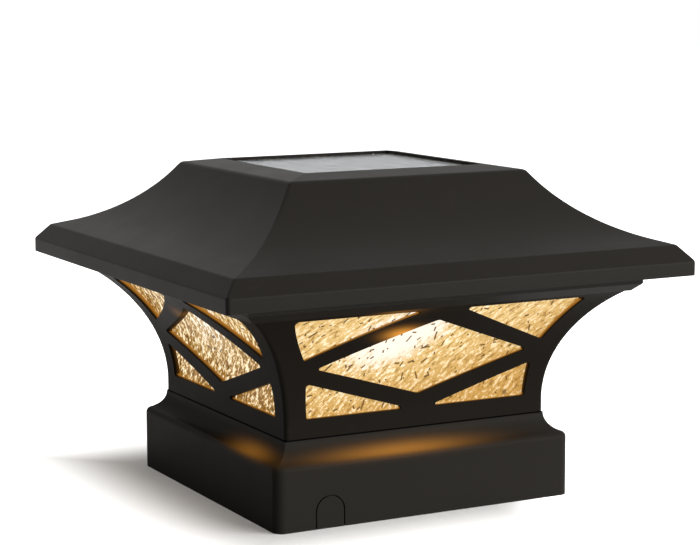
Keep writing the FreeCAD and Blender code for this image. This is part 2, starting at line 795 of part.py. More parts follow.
def roof_side():
    """Right-hand outline of the roof: eave band, bevel, concave slope and platform."""
    top_z = "(roof_height - slope_top_drop)"
    fall = f"({ARC_Z} - {top_z})"
    run = f"sqrt(roof_radius ^ 2 - {fall} ^ 2)"
    top_x = f"({ARC_X} - {run})"
    edge_x = f"({top_x} - (slope_top_drop - platform_drop) * {fall} / {run})"
    edge_z = "(roof_height - platform_drop)"
    return [
        Corner("eave_width / 2", "eave_bottom"),
        Corner("eave_width / 2", "ridge_height", "ridge_round"),
        Corner(BEVEL_X, "bevel_top", "bevel_round"),
        Corner(SLOPE_X, SLOPE_Z, bow="roof_radius", side=RIGHT),
        Corner(top_x, top_z),
        Corner(edge_x, edge_z, "platform_round"),
        Corner("recess_width / 2", "roof_height"),
    ]


def roof_inside():
    """Right-hand outline of the space under the roof, with the ledge that the tray's gasket closes on."""
    ledge_x = f"({EAVE_INSIDE} - gasket_width - 2 * tray_gap)"
    inner_x = f"({SLOPE_X} - roof_wall * sin(slope_pitch))"
    inner_z = f"({SLOPE_Z} - roof_wall * cos(slope_pitch))"
    return [
        Corner(EAVE_INSIDE, "eave_bottom - roof_wall"),
        Corner(EAVE_INSIDE, GASKET_TOP),
        Corner(ledge_x, GASKET_TOP),
        Corner(ledge_x, f"{inner_z} - ({ledge_x} - {inner_x}) * tan(slope_pitch)"),
        Corner(inner_x, inner_z, bow="roof_radius + roof_wall", side=RIGHT),
        Corner(f"{ARC_X} - sqrt((roof_radius + roof_wall) ^ 2 - ({ARC_Z} - {CEILING}) ^ 2)", CEILING),
    ]


def roof_shell():
    """Pagoda shell with the panel's recess and four screw bosses."""
    outside = round_mitres("roof_outside", square_solid("roof_solid", roof_side()), "hip_round")
    inside = square_solid("roof_inside", roof_inside())
    recess = plate("panel_recess", [rectangle("recess_width", "recess_width", round_by="recess_corner")],
                   RECESS_FLOOR, "eave_width")
    lead_hole = rod("lead_hole", "lead_hole / 2", "eave_width", bottom=f"{CEILING} - recess_floor")
    shell = cut("roof_walls", outside, inside, recess, lead_hole)
    bosses = corner_rods("roof_boss", "roof_boss_place", "roof_boss_radius",
                         f"bevel_top - roof_wall / 4 - {SOFFIT_TOP}", SOFFIT_TOP)
    holes = corner_rods("roof_screw_hole", "roof_boss_place", "screw_shank / 2 + screw_gap",
                        "tray_screw_length + screw_hole_gap", SOFFIT)
    node("roof_shell", cut("roof_shell_body", fuse("roof_with_bosses", shell, *bosses), *holes))


def solar_panel():
    """Sealant bead, backboard, four cell strips and the clear cover cast over them."""
    width = "(recess_width - 2 * panel_gap)"
    inside = f"({width} - 2 * sealant_width)"
    node("panel_sealant", padded("panel_sealant", [rectangle(width, width), rectangle(inside, inside)], (),
                                 "sealant_thickness", z=RECESS_FLOOR))
    board_z = f"({RECESS_FLOOR} + sealant_thickness)"
    node("solar_backboard", padded("solar_backboard", [rectangle(width, width)], (), "backboard_thickness",
                                   z=board_z))
    cells_z = f"({board_z} + backboard_thickness)"
    field = f"({width} - 2 * cell_margin)"
    strip = f"(({field} - 3 * cell_gap) / 4)"
    strips = [
        rectangle(strip, field, x=f"{count} * ({strip} + cell_gap) / 2") for count in (-3, -1, 1, 3)
    ]
    cells_plate = plate("solar_cells", strips, cells_z, "cell_thickness")
    node("solar_cells", cells_plate)
    cover = block("solar_cover_stock", width, width, "cell_thickness + panel_cover_skin", bottom=cells_z)
    node("solar_cover", cut("solar_cover_body", cover, cells_plate))


# ---------------------------------------------------------------------------------------------------------------
# Tray and what it carries
# ---------------------------------------------------------------------------------------------------------------

BATTERY_LENGTH = "(cell_length + 2 * contact_thickness + spring_length)"
BATTERY_WIDTH = "(cell_diameter + 2 * battery_gap)"
BATTERY_AXIS = f"({FLOOR_TOP} + cell_diameter / 2 + battery_gap)"
BATTERY_FAR_END = f"({BATTERY_LENGTH} / 2)"
EAR_PLACE = f"({BATTERY_LENGTH} / 2 + battery_box_wall + small_screw_head)"
BOARD_BOTTOM = f"({FLOOR_TOP} + board_stand)"
BOARD_TOP = f"({BOARD_BOTTOM} + board_thickness)"
SOCKET_X = "(board_place_x - board_length / 2 + lead_socket_length)"
SMALL_HOLE_FOOT = "(small_screw_length + screw_hole_gap)"
BOARD_SCREWS = [
    (f"board_place_x + {way} * (board_length / 2 - board_hole_inset)",
     f"board_place_y + {way} * (board_width / 2 - board_hole_inset)", BOARD_TOP) for way in (1, -1)]
LED_SCREWS = [
    (f"{way} * (led_board_radius + led_hole_radius) / 2", "0", f"({FLOOR_TOP} + led_board_thickness)")
    for way in (1, -1)]
BOX_SCREWS = [
    (f"{way} * {EAR_PLACE}", "battery_place", f"({FLOOR_TOP} + battery_box_wall)") for way in (1, -1)]


def soffit_tray():
    """Tray that closes the roof from below, steps out over the lantern and carries the works."""
    outer = "(eave_width / 2 - roof_wall - tray_gap)"
    side = [
        Corner("tray_width / 2 - tray_step", "frame_top"),
        Corner("tray_width / 2", "frame_top + tray_bevel"),
        Corner("tray_width / 2", SOFFIT),
        Corner(outer, SOFFIT),
        Corner(outer, SOFFIT_TOP),
    ]
    inner = "(tray_width - 2 * tray_wall)"
    hollow = block("tray_hollow", inner, inner, "eave_width", bottom=FLOOR_TOP)
    pegs = corner_rods("peg", "peg_place", "peg_radius", "peg_length - peg_tip + tray_floor / 2",
                       "frame_top - peg_length + peg_tip")
    for index, (x, y, z) in enumerate(corner_places("peg_place", "frame_top - peg_length")):
        pegs.append(bind(add("Part::Cone", f"peg_tip_{index}"), Radius1="peg_radius - peg_tip",
                         Radius2="peg_radius", Height="peg_tip", x=x, y=y, z=z))
    stands = [
        rod(f"board_stand_{index}", "small_boss_radius", "board_stand + tray_floor / 2", x, y,
            "frame_top + tray_floor / 2")
        for index, (x, y, _) in enumerate(BOARD_SCREWS)]
    dish = fuse("tray_dish", cut("tray_shell", square_solid("tray_solid", side), hollow), *pegs, *stands)
    openings = [
        rod("led_hole", "led_hole_radius", "eave_width", bottom="base_height"),
        block("battery_opening", f"{BATTERY_LENGTH}", BATTERY_WIDTH, "eave_width", y="battery_place",
              bottom="base_height"),
        block("switch_slot", "switch_slot_length", "switch_slot_width", "eave_width", y="switch_place",
              bottom="base_height"),
    ]
    openings += corner_rods("tray_screw_hole", "roof_boss_place", "screw_shank / 2 + screw_hole_gap",
                            "2 * soffit_thickness", f"{SOFFIT} - soffit_thickness / 2")
    for index, (x, y, z) in enumerate(BOARD_SCREWS + LED_SCREWS + BOX_SCREWS):
        openings.append(rod(f"small_screw_hole_{index}", "small_screw_shank / 2 + screw_gap",
                            f"{SMALL_HOLE_FOOT}", x, y, f"{z} - small_screw_length - screw_gap"))
    node("soffit_tray", cut("soffit_tray_body", dish, *openings))


def tray_gasket():
    """Square ring between the tray's rim and the ledge in the roof."""
    outer = f"(2 * ({EAVE_INSIDE} - tray_gap))"
    inner = f"({outer} - 2 * gasket_width)"
    node("tray_gasket", padded("tray_gasket", [rectangle(outer, outer), rectangle(inner, inner)], (),
                               "gasket_thickness", z=SOFFIT_TOP))


def led_unit():
    """Round LED board over the tray's hole, its LEDs and the domed diffuser below."""
    board_holes = [("small_screw_shank / 2 + screw_hole_gap", x, y) for x, y, _ in LED_SCREWS]
    board = padded("led_board", [], [("led_board_radius",)] + board_holes, "led_board_thickness", z=FLOOR_TOP)
    node("led_board", board)
    led = turned("led_piece", [
        Corner("0", "-led_height"),
        Corner("led_radius", "-led_height", "led_radius * 0.8"),
        Corner("led_radius", "0"),
        Corner("0", "0"),
    ])
    places = []
    for index in range(round(number("led_count"))):
        angle = f"(45 + {index} * 360 / led_count)"
        places.append((f"led_ring_radius * cos({angle})", f"led_ring_radius * sin({angle})", FLOOR_TOP))
    node("leds", group("leds", led, places))
    inner = "(led_hole_radius - battery_gap - diffuser_wall)"
    neck = "(led_hole_radius - battery_gap)"
    dome = "(diffuser_radius - 2 * diffuser_wall)"
    fall = "(diffuser_drop - diffuser_flange)"
    inner_fall = f"({fall} - diffuser_wall)"
    node("led_diffuser", turned("led_diffuser", [
        Corner("0", "-diffuser_drop", bow=f"({dome} ^ 2 + {fall} ^ 2) / (2 * {fall})", side=LEFT),
        Corner(dome, "-diffuser_flange"),
        Corner("diffuser_radius", "-diffuser_flange"),
        Corner("diffuser_radius", "0"),
        Corner(neck, "0"),
        Corner(neck, "diffuser_neck"),
        Corner(inner, "diffuser_neck"),
        Corner(inner, "-diffuser_flange", bow=f"({inner} ^ 2 + {inner_fall} ^ 2) / (2 * {inner_fall})",
               side=RIGHT),
        Corner("0", f"-diffuser_drop + diffuser_wall"),
    ], z="frame_top"))


def battery_box():
    """Box over the battery opening, open below, with two screw ears."""
    length = f"({BATTERY_LENGTH} + 2 * battery_box_wall)"
    width = f"({BATTERY_WIDTH} + 2 * battery_box_wall)"
    height = f"({BATTERY_WIDTH} + battery_box_wall)"
    shell = block("battery_box_stock", length, width, height, y="battery_place", bottom=FLOOR_TOP)
    ears = block("battery_box_ears", f"2 * {EAR_PLACE} + 2 * small_screw_head", "2 * small_screw_head",
                 "battery_box_wall", y="battery_place", bottom=FLOOR_TOP)
    hollow = block("battery_box_hollow", BATTERY_LENGTH, BATTERY_WIDTH, BATTERY_WIDTH, y="battery_place",
                   bottom=FLOOR_TOP)
    holes = [rod(f"battery_ear_hole_{index}", "small_screw_shank / 2 + screw_hole_gap", "cell_diameter", x, y,
                 f"{FLOOR_TOP} - battery_box_wall") for index, (x, y, _) in enumerate(BOX_SCREWS)]
    node("battery_box", cut("battery_box_body", fuse("battery_box_solid", shell, ears), hollow, *holes))


def battery_and_contacts():
    """Rechargeable cell between a flat contact and a spring."""
    barrel = "(cell_length - cell_button_height)"
    cell = turned("battery_cell", [
        Corner("0", "0"),
        Corner("cell_diameter / 2", "0", "cell_button_height / 2"),
        Corner("cell_diameter / 2", barrel, "cell_button_height / 2"),
        Corner("cell_button / 2", barrel),
        Corner("cell_button / 2", "cell_length"),
        Corner("0", "cell_length"),
    ])
    cell.Placement = FreeCAD.Placement(FreeCAD.Vector(), FreeCAD.Rotation(Y_AXIS, -90))
    bind(cell, x=f"{BATTERY_FAR_END} - contact_thickness - spring_length", y="battery_place", z=BATTERY_AXIS)
    node("battery_cell", cell)
    contact_foot = f"({BATTERY_AXIS} - contact_width / 2)"
    node("battery_contact", block("battery_contact", "contact_thickness", "contact_width", "contact_width",
                                  f"contact_thickness / 2 - {BATTERY_FAR_END}", "battery_place", contact_foot))
    plate_x = f"({BATTERY_FAR_END} - contact_thickness / 2)"
    backing = block("spring_plate", "contact_thickness", "contact_width", "contact_width", plate_x,
                    "battery_place", contact_foot)
    rise = number("spring_length - spring_wire")
    path = Part.makeHelix(rise / number("spring_turns"), rise, number("spring_radius"))
    ring = Part.Circle(X_AXIS * number("spring_radius"), Y_AXIS, number("spring_wire / 2")).toShape()
    coil = add("Part::Feature", "spring_coil")
    coil.Shape = Part.Wire(path).makePipeShell([Part.Wire(ring)], True, True)
    coil.Placement = FreeCAD.Placement(FreeCAD.Vector(), FreeCAD.Rotation(Y_AXIS, 90))
    bind(coil, x=f"{plate_x} - contact_thickness / 2 - spring_length + spring_wire / 2", y="battery_place",
         z=BATTERY_AXIS)
    node("battery_spring", add("Part::Compound", "battery_spring_parts", Links=[coil, backing]))


def battery_cover():
    """Cover that pushes up into the tray's battery opening, with a finger tab."""
    lip = "(2 * battery_cover_lip)"
    outline = rectangle(f"{BATTERY_LENGTH} + {lip}", f"{BATTERY_WIDTH} + {lip}", y="battery_place",
                        round_by="battery_cover_corner")
    face = plate("cover_face", [outline], "frame_top - battery_cover_thickness", "battery_cover_thickness")
    tab = block("cover_tab", "2 * battery_cover_lip + cover_tab_width / 2", "cover_tab_width",
                "battery_cover_thickness", f"{BATTERY_LENGTH} / 2 + battery_cover_lip", "battery_place",
                "frame_top - battery_cover_thickness")
    rim_length, rim_width = (f"({size} - 2 * battery_cover_gap)" for size in (BATTERY_LENGTH, BATTERY_WIDTH))
    rim = plate("cover_rim", [
        rectangle(rim_length, rim_width, y="battery_place"),
        rectangle(f"{rim_length} - 2 * battery_cover_rib", f"{rim_width} - 2 * battery_cover_rib",
                  y="battery_place"),
    ], "frame_top - battery_cover_thickness / 2", "battery_cover_thickness / 2 + tray_floor")
    node("battery_cover", fuse("battery_cover_body", face, tab, rim))


def switch():
    """Slide switch: a body on the tray's floor and a knob that reaches down through the slot."""
    flange_z = f"({FLOOR_TOP} + knob_gap / 2)"
    room_length = "(knob_length + 2 * knob_flange + knob_travel + 2 * knob_gap)"
    room_width = "(knob_width + 2 * knob_flange + 2 * knob_gap)"
    case = block("switch_case", "switch_length", "switch_width", "switch_height", y="switch_place",
                 bottom=FLOOR_TOP)
    room = block("switch_room", room_length, room_width, "knob_flange_thickness + knob_gap", y="switch_place",
                 bottom=FLOOR_TOP)
    node("switch_body", cut("switch_body_shell", case, room))
    rest = "(-knob_travel / 2)"
    stem = block("knob_stem", "knob_length", "knob_width",
                 "knob_drop + tray_floor + knob_gap / 2 + knob_flange_thickness", rest, "switch_place",
                 "frame_top - knob_drop")
    flange = block("knob_flange", "knob_length + 2 * knob_flange", "knob_width + 2 * knob_flange",
                   "knob_flange_thickness", rest, "switch_place", flange_z)
    node("switch_knob", fuse("switch_knob_body", stem, flange))


def circuit_board():
    """Charge and drive board on two stands, with its larger components."""
    place = {"x": "board_place_x", "y": "board_place_y"}
    holes = [("small_screw_shank / 2 + screw_hole_gap", f"{x} - board_place_x", f"{y} - board_place_y")
             for x, y, _ in BOARD_SCREWS]
    node("circuit_board", padded("circuit_board", [rectangle("board_length", "board_width")], holes,
                                 "board_thickness", z=BOARD_BOTTOM, **place))
    parts = [
        block("driver_chip", "chip_length", "chip_width", "chip_height", "board_place_x + chip_length / 2",
              "board_place_y + chip_width / 2", BOARD_TOP),
        rod("inductor", "inductor_radius", "inductor_height", "board_place_x - inductor_radius",
            "board_place_y + 2 * inductor_radius", BOARD_TOP),
        rod("capacitor", "capacitor_radius", "capacitor_height", "board_place_x + board_length / 4",
            "board_place_y - board_width / 4", BOARD_TOP),
        block("lead_socket", "lead_socket_length", "lead_socket_width", "lead_socket_height", SOCKET_X,
              "board_place_y", BOARD_TOP),
    ]
    node("board_components", add("Part::Compound", "board_components", Links=parts))


# ---------------------------------------------------------------------------------------------------------------
# Leads
# ---------------------------------------------------------------------------------------------------------------

def lead(points):
    """A round wire along straight runs joined by tangent arcs; prints its bend radii."""
    vertices = [FreeCAD.Vector(*(number(value) for value in point)) for point in points]
    edges, start, radii = [], vertices[0], []
    for before, corner, after in zip(vertices, vertices[1:], vertices[2:]):
        towards, onward = (before - corner), (after - corner)
        half_angle = towards.getAngle(onward) / 2
        reach = 0.45 * min(towards.Length, onward.Length)
        radius = reach * math.tan(half_angle)
        radii.append(round(radius, 1))
        first, crown, last = arc_at_corner(before, corner, after, radius)
        edges += [Part.LineSegment(start, first).toShape(), Part.Arc(first, crown, last).toShape()]
        start = last
    edges.append(Part.LineSegment(start, vertices[-1]).toShape())
    path = Part.Wire(edges)
    ring = Part.Circle(vertices[0], vertices[1] - vertices[0], number("lead_diameter / 2")).toShape()
    tube = path.makePipeShell([Part.Wire([ring])], True, False)
    print(f"lead radii {radii}, volume over section times length"
          f" {tube.Volume / (math.pi * number('lead_diameter / 2') ** 2 * path.Length):.4f}")
    return tube


def leads(name, routes):
    """A node of separate wires."""
    bundle = add("Part::Feature", name)
    bundle.Shape = Part.makeCompound([lead(route) for route in routes])
    node(name, bundle)


def lead_routes():
    """Leads from the panel, the LED board and the battery's ends to the socket on the circuit board."""
    socket_top = f"({BOARD_TOP} + lead_socket_height)"

    def socket_end(slot, height):
        """The last two points of a lead that drops into a slot of the socket."""
        place = (SOCKET_X, f"board_place_y + {slot} * lead_pitch")
        return [place + (f"{socket_top} + {height}",), place + (socket_top,)]

    panel_back = f"({RECESS_FLOOR} + sealant_thickness)"
    leads("panel_leads", [
        [(f"{way} * lead_diameter", "0", panel_back), (f"{way} * lead_diameter", "0", "103"),
         (f"{12 + way}", f"{-10 + way}", "97")] + socket_end(slot, 10)
        for way, slot in ((1, 1.5), (-1, 0.5))])
    board_back = f"({FLOOR_TOP} + led_board_thickness)"
    leads("led_leads", [
        [(f"{5 + 2 * way}", f"{-6 + way}", board_back), (f"{5 + 2 * way}", f"{-6 + way}", "87"),
         (f"{18 + way}", f"{-19 + 2 * way}", "93")] + socket_end(slot, 9)
        for way, slot in ((1, -0.5), (-1, -1.5))])
    box_end = f"({BATTERY_LENGTH} / 2 + battery_box_wall)"
    leads("battery_leads", [
        [(box_end, "battery_place - 3", BATTERY_AXIS), ("40", "battery_place - 3", BATTERY_AXIS),
         ("46", "18", "91"), ("41", "-2", "97")] + socket_end(2.5, 11),
        [(f"-{box_end}", "battery_place - 3", BATTERY_AXIS), ("-40", "battery_place - 3", BATTERY_AXIS),
         ("-40", "15", "88"), ("-26", "-1", "90"), ("-10", "-16", "91"), ("6", "-29", "93"),
         ("23", "-36", "96")] + socket_end(-2.5, 10)])


# ---------------------------------------------------------------------------------------------------------------
# Assembly
# ---------------------------------------------------------------------------------------------------------------

def screws():
    """The four groups of screws and the two of the boards."""
    main = ("screw_shank", "screw_head", "screw_head_height")
    small = ("small_screw_shank", "small_screw_head", "small_screw_head_height", "small_screw_length")
    frame_screw = screw("frame_screw", *main, "screw_length")
    node("frame_screws", group("frame_screws", frame_screw, corner_places("frame_screw_place", LEDGE_TOP)))
    tray_screw = screw("tray_screw", *main, "tray_screw_length")
    node("tray_screws", group("tray_screws", tray_screw, corner_places("roof_boss_place", SOFFIT), True))
    small_screw = screw("small_screw", *small)
    node("circuit_board_screws", group("circuit_board_screws", small_screw, BOARD_SCREWS))
    node("led_board_screws", group("led_board_screws", small_screw, LED_SCREWS))
    node("battery_box_screws", group("battery_box_screws", small_screw, BOX_SCREWS))


def build():
    """Build every piece."""
    base_skirt()
    reflector_plate()
    lantern_frame()
    for side, turn in (("front", -90), ("right", 0), ("back", 90), ("left", 180)):
        lens(side, turn)
    roof_shell()
    solar_panel()
    soffit_tray()
    tray_gasket()
    led_unit()
    battery_box()
    battery_and_contacts()
    battery_cover()
    switch()
    circuit_board()
    screws()
    lead_routes()
    DOC.recompute()


def check_and_export():
    """Stop if anything failed to build, then write each piece to its own file."""
    broken = [thing.Name for thing in DOC.Objects if {"Invalid", "Error"} & set(thing.State)]
    if broken:
        raise RuntimeError(f"failed objects: {broken}")
    for name, piece in NODES.items():
        if piece.Shape.isNull() or not piece.Shape.isValid():
            raise RuntimeError(f"{name} has no valid shape")
    os.makedirs("parts", exist_ok=True)
    for name, piece in NODES.items():
        piece.Shape.exportStep(f"parts/{name}.step")
    print(f"{len(NODES)} pieces written")


build()
check_and_export()
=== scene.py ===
"""Looks of a solar light that caps a deck post.

A moulded black skirt carries a flared lattice lantern with four hammered amber panes, and a pagoda roof
unit with the solar panel plugs into it. Sizes are millimetres times MM. z = 0 is the skirt's lower edge
and -Y is the front.
"""

import json
import logging
import math
from dataclasses import dataclass, field, replace
from enum import Enum
from typing import Any, Mapping, Sequence

import bmesh
import bpy
from mathutils import Matrix, Vector

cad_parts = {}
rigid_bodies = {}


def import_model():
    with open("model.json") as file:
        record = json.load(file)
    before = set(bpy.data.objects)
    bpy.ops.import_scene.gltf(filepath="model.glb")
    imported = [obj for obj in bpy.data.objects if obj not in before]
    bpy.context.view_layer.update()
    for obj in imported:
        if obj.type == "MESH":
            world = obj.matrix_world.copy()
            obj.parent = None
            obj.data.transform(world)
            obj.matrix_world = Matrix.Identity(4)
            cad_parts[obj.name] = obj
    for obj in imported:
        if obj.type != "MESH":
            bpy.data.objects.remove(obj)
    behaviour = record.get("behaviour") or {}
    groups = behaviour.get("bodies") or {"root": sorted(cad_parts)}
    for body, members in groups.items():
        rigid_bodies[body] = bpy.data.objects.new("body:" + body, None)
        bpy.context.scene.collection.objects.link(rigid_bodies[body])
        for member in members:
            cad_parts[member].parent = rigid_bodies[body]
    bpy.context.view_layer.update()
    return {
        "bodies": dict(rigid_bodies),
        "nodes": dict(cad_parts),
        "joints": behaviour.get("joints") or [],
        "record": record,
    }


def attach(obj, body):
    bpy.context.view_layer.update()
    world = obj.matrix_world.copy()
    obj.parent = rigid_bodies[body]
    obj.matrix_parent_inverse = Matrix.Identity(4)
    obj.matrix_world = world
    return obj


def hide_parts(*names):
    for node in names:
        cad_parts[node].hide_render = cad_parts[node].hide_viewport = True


LOG = logging.getLogger("post_cap_light")
MM = 0.001
Colour = tuple[float, float, float]
Point = tuple[float, float, float]
WHITE: Colour = (1.0, 1.0, 1.0)
BLACK: Colour = (0.0, 0.0, 0.0)


class Side(Enum):
    """The four sides of the light, as turns in degrees from the front."""

    FRONT = 0
    RIGHT = 90
    BACK = 180
    LEFT = 270


def toned(colour: Colour, share: float) -> Colour:
    """A colour made darker or lighter by a share."""
    return tuple(part * share for part in colour)


# --------------------------------------------------------------------------------------------------
# Node graphs written as expressions
# --------------------------------------------------------------------------------------------------


class Value:
    """A node socket that takes part in Python arithmetic."""

    def __init__(self, graph: "Graph", socket: bpy.types.NodeSocket) -> None:
        """Wrap an output socket of a graph."""
        self.graph = graph
        self.socket = socket

    def __add__(self, other: Any) -> "Value":
        """Add a value or number."""
        return self.graph.math("ADD", self, other)

    __radd__ = __add__

    def __sub__(self, other: Any) -> "Value":
        """Take away a value or number."""
        return self.graph.math("SUBTRACT", self, other)

    def __rsub__(self, other: Any) -> "Value":
        """Take this value away from a number."""
        return self.graph.math("SUBTRACT", other, self)

    def __mul__(self, other: Any) -> "Value":
        """Multiply by a value or number."""
        return self.graph.math("MULTIPLY", self, other)

    __rmul__ = __mul__

    def __truediv__(self, other: Any) -> "Value":
        """Divide by a value or number."""
        return self.graph.math("DIVIDE", self, other)

    def __rtruediv__(self, other: Any) -> "Value":
        """Divide a number by this value."""
        return self.graph.math("DIVIDE", other, self)

    def __pow__(self, other: Any) -> "Value":
        """Raise to a power."""
        return self.graph.math("POWER", self, other)

    def __abs__(self) -> "Value":
        """The size without its sign."""
        return self.graph.math("ABSOLUTE", self)


class Graph:
    """A node tree that is built by calls and expressions."""

    # Sockets of a Mix node that mixes colours, by number because their names repeat.
    MIX_FACTOR, MIX_FIRST, MIX_SECOND, MIX_RESULT = 0, 6, 7, 2

    def __init__(self, tree: bpy.types.NodeTree) -> None:
        """Take an empty node tree."""
        self.tree = tree

    def feed(self, socket: bpy.types.NodeSocket, value: Any) -> None:
        """Give an input socket a link or a plain value.

        Args:
            socket: the input.
            value: a Value to link, or a number, colour or other constant.
        """
        if isinstance(value, Value):
            self.tree.links.new(value.socket, socket)
        elif socket.type == "RGBA" and len(value) == 3:
            socket.default_value = (*value, 1.0)
        else:
            socket.default_value = value

    def node(self, kind: str, settings: Mapping[str, Any] | None = None,
             sockets: Mapping[str | int, Any] | None = None) -> bpy.types.Node:
        """Add a node.

        Args:
            kind: the node's type name.
            settings: properties, set before the sockets.
            sockets: values or links by the input's name or number.

        Returns:
            The new node.
        """
        made = self.tree.nodes.new(kind)
        for name, setting in (settings or {}).items():
            setattr(made, name, setting)
        for name, value in (sockets or {}).items():
            self.feed(made.inputs[name], value)
        return made

    def out(self, kind: str, settings: Mapping[str, Any] | None = None,
            sockets: Mapping[str | int, Any] | None = None, output: str | int = 0) -> Value:
        """Add a node and return one of its outputs."""
        return Value(self, self.node(kind, settings, sockets).outputs[output])

    def math(self, operation: str, *values: Any) -> Value:
        """One Math node."""
        return self.out("ShaderNodeMath", {"operation": operation}, dict(enumerate(values)))

    def vector_math(self, operation: str, first: Any, second: Any = BLACK, output: str | int = 0) -> Value:
        """One Vector Math node."""
        return self.out("ShaderNodeVectorMath", {"operation": operation}, {0: first, 1: second}, output)

    def fade(self, *shares: Value) -> Value:
        """A bell curve, 1 where every share is 0 and next to nothing past 2.

        Args:
            shares: distances, each divided by the patch's reach that way.

        Returns:
            The height of the curve.
        """
        total = shares[0] ** 2.0
        for share in shares[1:]:
            total = total + share ** 2.0
        return self.math("EXPONENT", total * -1.0)

    def smooth(self, value: Value, low: float, high: float) -> Value:
        """A smooth step of a value from 0 at low to 1 at high."""
        return self.out("ShaderNodeMapRange", {"interpolation_type": "SMOOTHSTEP"},
                        {"Value": value, "From Min": low, "From Max": high, "To Min": 0.0, "To Max": 1.0})

    def vector(self, x: Any, y: Any, z: Any) -> Value:
        """A vector from its three parts."""
        return self.out("ShaderNodeCombineXYZ", None, {0: x, 1: y, 2: z})

    def parts(self, vector: Value) -> tuple[Value, Value, Value]:
        """The three parts of a vector."""
        made = self.node("ShaderNodeSeparateXYZ", None, {0: vector})
        return Value(self, made.outputs[0]), Value(self, made.outputs[1]), Value(self, made.outputs[2])

    def mix(self, factor: Any, first: Any, second: Any) -> Value:
        """A blend of two colours."""
        inputs = {self.MIX_FACTOR: factor, self.MIX_FIRST: first, self.MIX_SECOND: second}
        return self.out("ShaderNodeMix", {"data_type": "RGBA"}, inputs, self.MIX_RESULT)

    def seen(self) -> Value:
        """Tell rays that show a surface from those that only light one.

        Returns:
            1 for rays from the camera, from a mirrored surface or through glass, and otherwise 0.
        """
        rays = self.node("ShaderNodeLightPath")
        camera, glossy, through = (Value(self, rays.outputs[f"Is {kind} Ray"])
                                   for kind in ("Camera", "Glossy", "Transmission"))
        return self.math("MAXIMUM", camera, self.math("MAXIMUM", glossy, through))

    def noise(self, place: Value, size: float, detail: float = 2.0, roughness: float = 0.5) -> Value:
        """Noise from 0 to 1 with features of a size in metres."""
        return self.out("ShaderNodeTexNoise", None,
                        {"Vector": place, "Scale": 1.0 / size, "Detail": detail, "Roughness": roughness})


class Shader(Graph):
    """A material with one Principled surface."""

    # Near-black painted shade of the gap at a joint between parts.
    PAINTED_GAP_SHADE: Colour = (0.002, 0.002, 0.002)

    def __init__(self, name: str) -> None:
        """Start an empty material.

        Args:
            name: the material's name.
        """
        self.material = bpy.data.materials.new(name)
        self.material.use_nodes = True
        self.material.node_tree.nodes.clear()
        super().__init__(self.material.node_tree)
        self.place = self.out("ShaderNodeTexCoord", output="Object")

    def finish(self, gap: Value | None = None, **sockets: Any) -> bpy.types.Material:
        """Close the material with a Principled surface.

        Args:
            gap: where this is 1 the surface is painted with the near-black shade of a gap between parts.
            sockets: input values by name, with underscores for spaces.

        Returns:
            The material.
        """
        named = {name.replace("_", " "): value for name, value in sockets.items()}
        surface = self.out("ShaderNodeBsdfPrincipled", None, named)
        # Where gap is 1, a near-black diffuse paints the shade of the joint.
        if gap is not None:
            dark = self.out("ShaderNodeBsdfDiffuse", None, {"Color": self.PAINTED_GAP_SHADE})
            surface = self.out("ShaderNodeMixShader", None, {0: gap, 1: surface, 2: dark})
        self.node("ShaderNodeOutputMaterial", None, {"Surface": surface})
        return self.material

    def bump(self, height: Value, depth: float) -> Value:
        """A normal from a height of 0 to 1 that is that deep, in metres."""
        return self.out("ShaderNodeBump", None, {"Strength": 1.0, "Distance": depth, "Height": height})


# --------------------------------------------------------------------------------------------------
# Finishes
# --------------------------------------------------------------------------------------------------


@dataclass(frozen=True)
class Halo:
    """Soft patch of amber light that a lit pane throws on a moulding."""

    place: Point
    reach: Point
    strength: float

    def turned(self, side: Side) -> "Halo":
        """Turn the patch from the front to another side.

        Args:
            side: the side it goes to.

        Returns:
            The same patch there.
        """
        turn = Matrix.Rotation(math.radians(side.value), 3, "Z")
        reach = turn @ Vector(self.reach)
        return Halo(tuple(turn @ Vector(self.place)), tuple(abs(part) for part in reach), self.strength)

    def glow(self, shader: Shader) -> Value:
        """Work out the patch's brightness, highest at its middle.

        Args:
            shader: the material that the patch lies on.

        Returns:
            The brightness at the place that is shaded.
        """
        away = shader.vector_math("SUBTRACT", shader.place, self.place)
        share = shader.vector_math("DIVIDE", away, self.reach)
        return shader.fade(shader.vector_math("LENGTH", share, output="Value")) * self.strength


@dataclass(frozen=True)
class Flare:
    """Arc that the lantern's walls follow: upright at the neck and bending outward above it."""

    neck_half: float = 51.1 * MM
    start: float = 34.0 * MM
    radius: float = 49.6 * MM


